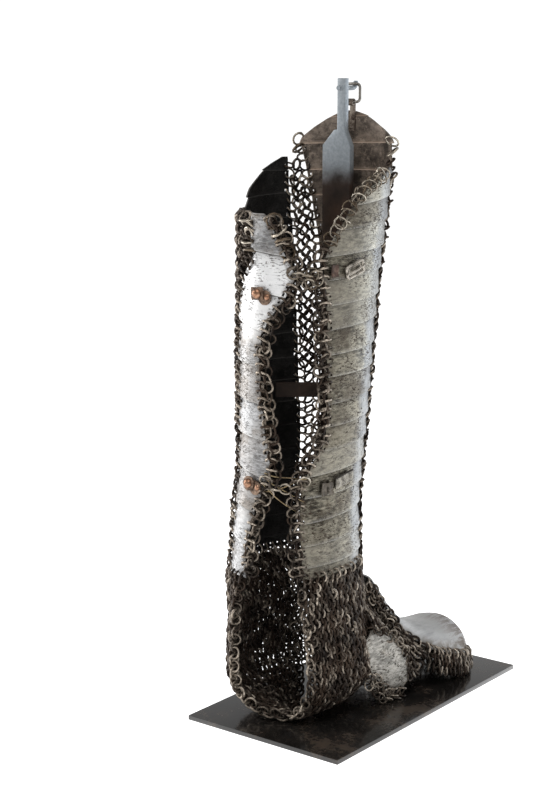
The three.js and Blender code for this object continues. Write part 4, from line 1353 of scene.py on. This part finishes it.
instep_mail(1, "instep_rings_outer", "instep_mail_outer", 41)
instep_mail(-1, "instep_rings_inner", "instep_mail_inner", 42)


# Toe mail: four rows of rings hung close together through the toe cap's rim.
toe_pitch = 0.0047
toe_rows = (0.0012, 0.0062, 0.0112, 0.0162)
toe_radius = 0.0048
toe_wire = ring_wire * 1.1
toe_row_out = 0.0008
toe_lean = radians(62)
foot_middle = (0.0, 0.07, 0.03)


def toe_mail():
    rings = Rings(43)

    def rim_line(share):
        side = np.where(share < 0.5, 0.0, 1.0)
        round_nose = 1 - np.abs(share - 0.5) * 2
        u = skirt_start + (1 - skirt_start) * np.sin(round_nose * pi / 2)
        edge = cap_point(u, side)
        centre = cap_point(u, np.full_like(u, 0.5))
        reach = np.minimum(1, (1 - round_nose) * 12)[..., None]
        point = centre + (edge - centre) * reach
        point[..., 2] = edge[..., 2]
        return point

    even = even_rows(rim_line, toe_pitch)
    for number, drop in enumerate(toe_rows):
        shares = between(even) if number % 2 else even
        centres = rim_line(shares)
        along = unit(rim_line(np.clip(shares + 0.004, 0, 1)) - rim_line(np.clip(shares - 0.004, 0, 1)))
        down = np.array([0.0, 0.0, -1.0]) + 0 * along
        out = unit(np.cross(down, along))
        out = out * np.sign(np.sum(out * (centres - foot_point(*foot_middle)), -1, keepdims=True))
        centres = centres + down * drop + out * toe_row_out * number
        lean = toe_lean if number % 2 else -toe_lean
        first = along * cos(lean) + out * sin(lean)
        kept = centres[:, 2] > base_top + ring_radius * 0.8
        rings.add(centres[kept], first[kept], down[kept], toe_radius, toe_wire, 0.55 - 0.12 * number, 1.4)
    rings.piece("toe_rings", mail_iron, ["toe_mail"])


toe_mail()


# Hanger: an oblong link of steel wire on the stand's pin, held by an iron strap that is folded
# round it and riveted inside the shin plate's apex.
link_wire = 0.0012
link_corner = 0.003
link_turn = 38
link_widening = 1.2
tab_wall = 0.0014
tab_steps = 26
tab_columns = 5
tab_rivet = (0.002, 0.0012)
tab_rivet_drop = 0.006
dome_sides = 24


def worn_iron(name, dark, bright, rub, gloss=0.42, metallic=0.8):
    """Forged iron: dark, rubbed bright in patches."""
    made, place = finish_named(name)
    cloud = place.noise(180.0, 6.0, 0.6)
    grain = place.noise(900.0, 4.0)
    rubbed = (cloud * 0.6 + grain * 0.4).above(0.5 - rub * 0.2, 0.66 - rub * 0.1)
    base = cloud.ramp((0.3, dark), (0.7, tuple(v * 2.1 for v in dark)))
    colour = base.tinted(rubbed, bright)
    coated(place, colour, gloss + 0.16 - rubbed * 0.16, metallic, grain * 0.6 + cloud * 0.4, 0.0002)
    return made


def rounded_loop(half_wide, half_high, corner, steps=8):
    """Points of a rectangle with round corners, in its own plane."""
    points = []
    for quarter in range(4):
        x = (half_wide - corner) * (1 if quarter in (0, 3) else -1)
        y = (half_high - corner) * (1 if quarter in (0, 1) else -1)
        for step in range(steps + 1):
            turn = pi / 2 * (quarter + step / steps)
            points.append((x + corner * cos(turn), y + corner * sin(turn)))
    return points


def domed(made, place, radius, height):
    """Adds a hammered rivet head whose flat side lies on a local frame."""
    profile = [(radius * cos(t), height * sin(t)) for t in np.linspace(0, pi / 2 * 0.96, 7)]
    rows = [[place @ Vector((r * cos(a), r * sin(a), h))
             for a in np.linspace(0, 2 * pi, dome_sides, endpoint=False)] for r, h in profile]
    add_faces(made, [point for row in rows for point in row], tube_faces(len(rows), dome_sides))


def hanger():
    iron = worn_iron("hanger_iron", (0.045, 0.03, 0.022), (0.26, 0.22, 0.18), 0.4)
    bright_wire = worn_iron("link_wire", (0.035, 0.03, 0.026), (0.3, 0.28, 0.25), 0.6, 0.35)
    middle = (link_low + link_high) / 2
    half = (link_high - link_low) / 2
    turn = radians(link_turn)
    path = [(middle.x + x * cos(turn), middle.y + x * sin(turn), middle.z + z)
            for x, z in rounded_loop(half.x * link_widening, half.z - link_wire, link_corner)]
    made = bmesh.new()
    add_faces(made, *swept(path, link_wire, 14, True))
    solid_piece("hang_link", made, bright_wire, 60, "hanging_link")
    low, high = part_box("apex_tab")
    eye = (high.y - low.y) / 2
    round_eye = eye - tab_wall / 2
    reach = high.z - eye - low.z
    bend = [(round_eye, -reach + share * reach) for share in (0, 0.3, 0.6, 0.9)]
    bend += [(round_eye * cos(t), round_eye * sin(t)) for t in np.linspace(0, 1.82 * pi, tab_steps)]
    bend = np.array(bend)
    ahead = unit(np.gradient(bend, axis=0))
    side = np.stack([ahead[:, 1], -ahead[:, 0]], -1)
    wide = np.linspace(low.x, high.x, tab_columns)[None, :]
    lines = [bend + side * offset for offset in (-tab_wall / 2, tab_wall / 2)]
    points = np.array([np.stack(np.broadcast_arrays(wide, (low.y + high.y) / 2 + line[:, :1],
                                                    high.z - eye + line[:, 1:]), -1) for line in lines])
    whole = np.zeros((len(bend) - 1, tab_columns - 1), bool)
    made = bmesh.new()
    add_faces(made, points.reshape(-1, 3), sheet_faces(len(bend), tab_columns, whole))
    seat = Matrix.Translation(((low.x + high.x) / 2, high.y - tab_wall, apex - tab_rivet_drop))
    domed(made, seat @ Matrix.Rotation(pi / 2, 4, "X"), *tab_rivet)
    solid_piece("apex_strap", made, iron, 40, "apex_tab")


hanger()


# Rivets of the splint: copper heads peened over brown iron washers, in two pairs. They held
# the straps that closed the back.
rivet_radius = 0.004
rivet_height = 0.0032
small_radius = 0.0025
washer_half = 0.006
washer_wall = 0.0012
washer_rounding = 0.0003
square_corner = 0.0014
washer_wear = (0.00018, 0.00012)


def centre_of(node):
    low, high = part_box(node)
    return (low + high) / 2


def on_leg(angle, level, centre, turn=0.0):
    """A frame on the leg: x along its girth, y up it and z out of it."""
    girth, rise, out = [Vector(v) for v in leg_frame(np.array(float(angle)), np.array(float(level)))]
    frame = Matrix((girth, out.cross(girth), out)).transposed().to_4x4()
    return Matrix.Translation(centre) @ frame @ Matrix.Rotation(radians(turn), 4, "Z")


def flat_form(place, outline, wall, rounding):
    """A flat plate of an outline, centred on a local frame, with its edges rounded."""
    made = bmesh.new()
    pulled(made, [(x, y, -wall / 2) for x, y in outline], (0, 0, wall))
    bevelled(made, rounding)
    bmesh.ops.transform(made, matrix=place, verts=made.verts)
    return made


def uneven(outline, amount, seed):
    draw = np.random.default_rng(seed)
    return [(x + draw.normal(0, amount), y + draw.normal(0, amount)) for x, y in outline]


def copper():
    """Copper in patches of dark brown, brown and rubbed pink."""
    made, place = finish_named("rivet_copper")
    cloud = place.noise(300.0, 5.0)
    grain = place.noise(1500.0, 3.0)
    colour = (cloud * 0.7 + grain * 0.3).ramp((0.35, (0.1, 0.045, 0.025)), (0.55, (0.34, 0.185, 0.115)),
                                               (0.75, (0.52, 0.33, 0.23)))
    coated(place, colour, 0.44 - cloud * 0.16, 0.9, grain, 0.0001)
    return made


washer_iron = worn_iron("washer_iron", (0.05, 0.03, 0.02), (0.24, 0.16, 0.11), 0.5, 0.5, 0.55)
head_copper = copper()


square = rounded_loop(washer_half, washer_half * 0.85, square_corner, 3)
disc = rounded_loop(washer_half, washer_half, washer_half * 0.92, 5)


def rivet_pair(name, angle, level, top_outline, seed):
    def seat_of(node):
        return on_leg(angle, level, centre_of(name + node))

    washers = (("_washer", "_rivet_washer", top_outline), ("_under_washer", "_rear_washer", disc))
    for number, (node, label, outline) in enumerate(washers):
        worn = uneven(outline, washer_wear[number], seed + number)
        made = flat_form(seat_of(node), worn, washer_wall, washer_rounding)
        solid_piece(name + label, made, washer_iron, 30, name + node)
    head = seat_of("_washer") @ Matrix.Translation((0, 0, washer_wall / 2 + clearance))
    stud = seat_of("_small_rivet") @ Matrix.Translation((0, 0, -rivet_height / 4))
    heads = (("_rivet", "_head", head, rivet_radius, rivet_height),
             ("_small_rivet", "_stud", stud, small_radius, rivet_height / 2))
    for node, label, foot, radius, height in heads:
        made = bmesh.new()
        domed(made, foot, radius, height)
        solid_piece(name + node + label, made, head_copper, 50, name + node)


rivet_pair("upper", 271, 0.369, square, 51)
rivet_pair("lower", 265, 0.212, disc, 53)


# Buckle on the outer plate: a small forged frame with its tongue across it, and the stub of
# the brown leather chape that held it.
buckle_wide = 0.0105
buckle_high = 0.006
buckle_bar = 0.0012
buckle_corner = 0.0016
inner_corner = 0.0008
buckle_tilt = 18
buckle_level = 0.387
buckle_angle = -10
prong_radius = 0.0008
leather_wall = 0.0016
leather_grid = (17, 15)
leather_wave = 0.0004
leather_tear = 0.0006
chape_half = 0.0032
chape_angle = -22


def dry_leather(name, dark, brown, scuffed):
    """Old leather, cracked and dark, scuffed lighter in patches."""
    made, place = finish_named(name)
    cloud = place.noise(160.0, 6.0, 0.65)
    cracks = 1 - place.spots(620.0).above(0.02, 0.35)
    grain = place.noise(1400.0, 4.0)
    colour = cloud.ramp((0.35, dark), (0.52, brown), (0.7, scuffed))
    colour = colour.tinted(cracks * 0.6, (0.02, 0.012, 0.008))
    coated(place, colour, 0.62 + grain * 0.16, 0.0, grain * 0.5 - cracks * 0.5 + cloud * 0.6, 0.0004)
    return made


old_leather = dry_leather("chape_leather", (0.02, 0.012, 0.009), (0.065, 0.036, 0.026), (0.15, 0.09, 0.065))
buckle_iron = worn_iron("buckle_iron", (0.045, 0.036, 0.028), (0.5, 0.46, 0.4), 0.9)


def leather_bit(name, node, place, half_wide, half_high, curl, seed, leather):
    """A torn bit of leather: a thick sheet with ragged ends that curls off the plate."""
    rows, columns = leather_grid
    y, x = np.meshgrid(np.linspace(-1, 1, rows), np.linspace(-1, 1, columns), indexing="ij")
    flat = np.stack([x * half_wide, y * half_high, 0 * x], -1)
    ragged = soft_noise(flat, 900, seed) * leather_tear
    bow = curl * (x ** 2 * 0.5 + np.maximum(-y, 0) ** 2) + soft_noise(flat, 350, seed + 3) * leather_wave
    middle = flat + np.stack([ragged * abs(x), ragged * abs(y), bow], -1)
    wall = leather_wall * (1 - 0.35 * np.maximum(abs(x), abs(y)) ** 6)
    normals = grid_normals(middle)
    normals *= np.sign(normals[..., 2:])
    grids = [middle + normals * (wall * side / 2)[..., None] for side in (-1, 1)]
    matrix = np.array(place)
    points = np.concatenate([grid.reshape(-1, 3) for grid in grids]) @ matrix[:3, :3].T + matrix[:3, 3]
    made = bmesh.new()
    add_faces(made, points, sheet_faces(rows, columns, np.zeros((rows - 1, columns - 1), bool)))
    solid_piece(name, made, leather, 50, node)


def bar_along(made, frame, line, radius, sides, closed=False):
    """A round bar along a line of points on a local frame."""
    add_faces(made, *swept([frame @ Vector(point) for point in line], radius, sides, closed))


def buckle():
    seat = on_leg(buckle_angle, buckle_level, centre_of("buckle_frame"), buckle_tilt)
    outer = rounded_loop(buckle_wide - buckle_bar, buckle_high - buckle_bar, buckle_corner, 5)
    inner = rounded_loop(buckle_wide - buckle_bar * 3.1, buckle_high - buckle_bar * 2.7, inner_corner, 3)
    made = bmesh.new()
    bar_along(made, seat, [(x, y, 0) for x, y in outer], buckle_bar, 10, True)
    bar_along(made, seat, [(x, y, -0.0004) for x, y in inner], buckle_bar * 0.55, 8, True)
    solid_piece("buckle_loop", made, buckle_iron, 60, "buckle_frame")
    over = on_leg(buckle_angle, buckle_level, centre_of("buckle_tongue"), buckle_tilt)
    line = [(buckle_wide * share, 0, lift)
            for share, lift in ((-1, -0.0008), (-0.6, 0.0003), (0, 0.0004), (0.6, 0.0002), (1.02, -0.0006))]
    made = bmesh.new()
    bar_along(made, over, line, prong_radius, 10)
    solid_piece("buckle_prong", made, buckle_iron, 60, "buckle_tongue")
    place = on_leg(chape_angle, buckle_level, centre_of("buckle_chape"))
    leather_bit("buckle_leather", "buckle_chape", place, chape_half, buckle_high - buckle_bar, 0.0012, 61,
                old_leather)


buckle()


# Lower strap: the riveted metal end of a strap that has rotted away, with two curled bits of
# its leather beside it.
strap_half = 0.012
strap_half_high = 0.0045
strap_level = 0.211
strap_angle = -2
strap_turn = 9
strap_rounding = 0.0003
strap_lip_lift = 0.0004
strap_lip = ((-0.0125, 0.0), (-0.006, 0.0005), (0.001, 0.0001), (0.007, 0.0004), (0.0115, -0.0002))
strap_lip_radius = 0.0007
strap_bit = (0.0026, 0.0052, 0.0014)

# Columns: shares of the strap end's half length and half height.
strap_outline = ((-1, -1), (0.86, -1), (1, -0.3), (0.97, 0.8), (0.8, 1), (-0.95, 0.94))
strap_rivets = ((0.7, 0.0, 0.0019, 0.0011), (-0.72, -0.0008, 0.0022, 0.0013))
lip_iron = worn_iron("strap_lip_iron", (0.014, 0.011, 0.009), (0.1, 0.085, 0.07), 0.2)


def lower_strap():
    seat = on_leg(strap_angle, strap_level, centre_of("strap_end"), strap_turn)
    outline = [(strap_half * x, strap_half_high * y) for x, y in strap_outline]
    made = flat_form(seat, outline, plate_wall, strap_rounding)
    for share, y, radius, height in strap_rivets:
        domed(made, seat @ Matrix.Translation((strap_half * share, y, plate_wall / 2)), radius, height)
    grey = worn_iron("strap_end_iron", (0.05, 0.044, 0.036), (0.3, 0.28, 0.24), 0.7)
    solid_piece("strap_tip", made, grey, 40, "strap_end")
    made = bmesh.new()
    edge = [(x, strap_half_high + strap_lip_lift + bow, 0.0002) for x, bow in strap_lip]
    bar_along(made, seat, edge, strap_lip_radius, 8)
    solid_piece("strap_lip", made, lip_iron, 60, None)
    leather = dry_leather("strap_leather", (0.025, 0.02, 0.016), (0.09, 0.075, 0.058), (0.24, 0.21, 0.17))
    level = strap_level - strap_half_high
    for index, name in enumerate(("strap_leather_front", "strap_leather_back")):
        place = on_leg(strap_angle - 10 - 6 * index, level, centre_of(name), 8 - 14 * index)
        leather_bit(name + "_bit", name, place, *strap_bit, 71 + 7 * index, leather)


lower_strap()


# Ties over the back opening: a short chain of large bronze rings above, and below it crossed
# brass wires with a few such rings.
tie_wire = 0.0005
tie_ring = (0.0050, 0.0009)
dropped_ring = (0.0048, 0.0008)
upper_level = buckle_level - 0.001
upper_out = 0.002
upper_sag = 0.0035
lower_levels = np.array([0.203, 0.219])
lower_out = 0.0035
lower_sag = 0.002
lower_bow = 0.0022
bow_side = np.array([0.55, -0.83, 0])

# Columns: where a wire starts and ends, as shares of the way from the lower level to the upper.
crossings = ((0.2, 1), (1, -0.3), (0.6, -1.1), (1.2, 0.9))

# Columns: a ring's share of the way over the opening, its rise and its turn.
lower_places = np.array([(0.08, 0.004, 0.3), (0.3, -0.001, 0.9), (0.52, -0.002, 0.2), (0.78, -0.001, 0.8),
                         (0.95, 0.003, 0.4)])


def brass():
    """Brass wire twisted on long after the mail, still yellow."""
    made, place = finish_named("tie_brass")
    cloud = place.noise(240.0, 4.0)
    colour = cloud.ramp((0.35, (0.12, 0.085, 0.05)), (0.65, (0.42, 0.33, 0.19)))
    coated(place, colour, 0.4 - cloud * 0.1, 0.9, cloud, 0.0001)
    return made


def across_gap(start, end, count):
    """Directions of a row of rings over the opening: along the row, up, and out of the leg."""
    along = np.broadcast_to(unit(end - start), (count, 3))
    up = np.array([0, 0, 1.0]) + 0 * along
    return along, up, unit(np.cross(along, up))


def upper_tie():
    rings = Rings(81)
    start = leg_point(edge_at(splint_edges, 2, upper_level) - 360, upper_level, upper_out)
    end = leg_point(edge_at(outer_edges, 1, upper_level) - 6, upper_level, upper_out)
    share = np.linspace(0, 1, 6)[:, None]
    centres = start + (end - start) * share
    centres[:, 2] -= upper_sag * np.sin(share[:, 0] * pi)
    along, up, out = across_gap(start, end, 6)
    flat = (np.arange(6) % 2)[:, None] * 1.0
    rings.add(centres, along, up * (1 - flat) + out * flat + up * 0.25, *tie_ring, 0.6, 2.0)
    rings.add(centres[3:] + (0, 0, -0.006), along[3:], up[3:] + out[3:] * 0.4, *dropped_ring, 0.6, 2.5)
    rings.piece("upper_tie_rings", bronze_metal, ["upper_tie"])


def lower_tie():
    low, high = lower_levels
    start = leg_point(edge_at(splint_edges, 2, high) - 363, lower_levels, lower_out)
    end = leg_point(edge_at(outer_edges, 1, low) + 3, lower_levels, lower_out)
    share = np.linspace(0, 1, 14)[:, None]
    made = bmesh.new()
    for number, (a, b) in enumerate(crossings):
        first = start[0] + (start[1] - start[0]) * a
        last = end[0] + (end[1] - end[0]) * b
        path = first + (last - first) * share + bow_side * lower_bow * np.sin(share * pi * (1.6 + number % 2))
        path[:, 2] -= lower_sag * np.sin(share[:, 0] * pi)
        add_faces(made, *swept(path, tie_wire, 8))
    solid_piece("lower_tie_wires", made, brass(), 60, "lower_tie")
    rings = Rings(82)
    start, end = start.mean(0), end.mean(0)
    centres = start + (end - start) * lower_places[:, :1]
    centres[:, 2] += lower_places[:, 1]
    tilt = lower_places[:, 2:]
    along, up, out = across_gap(start, end, len(centres))
    rings.add(centres, along, up * (1 - tilt) + out * tilt, *tie_ring, 0.7, 2.0)
    rings.piece("lower_tie_rings", bronze_metal, [])


upper_tie()
lower_tie()
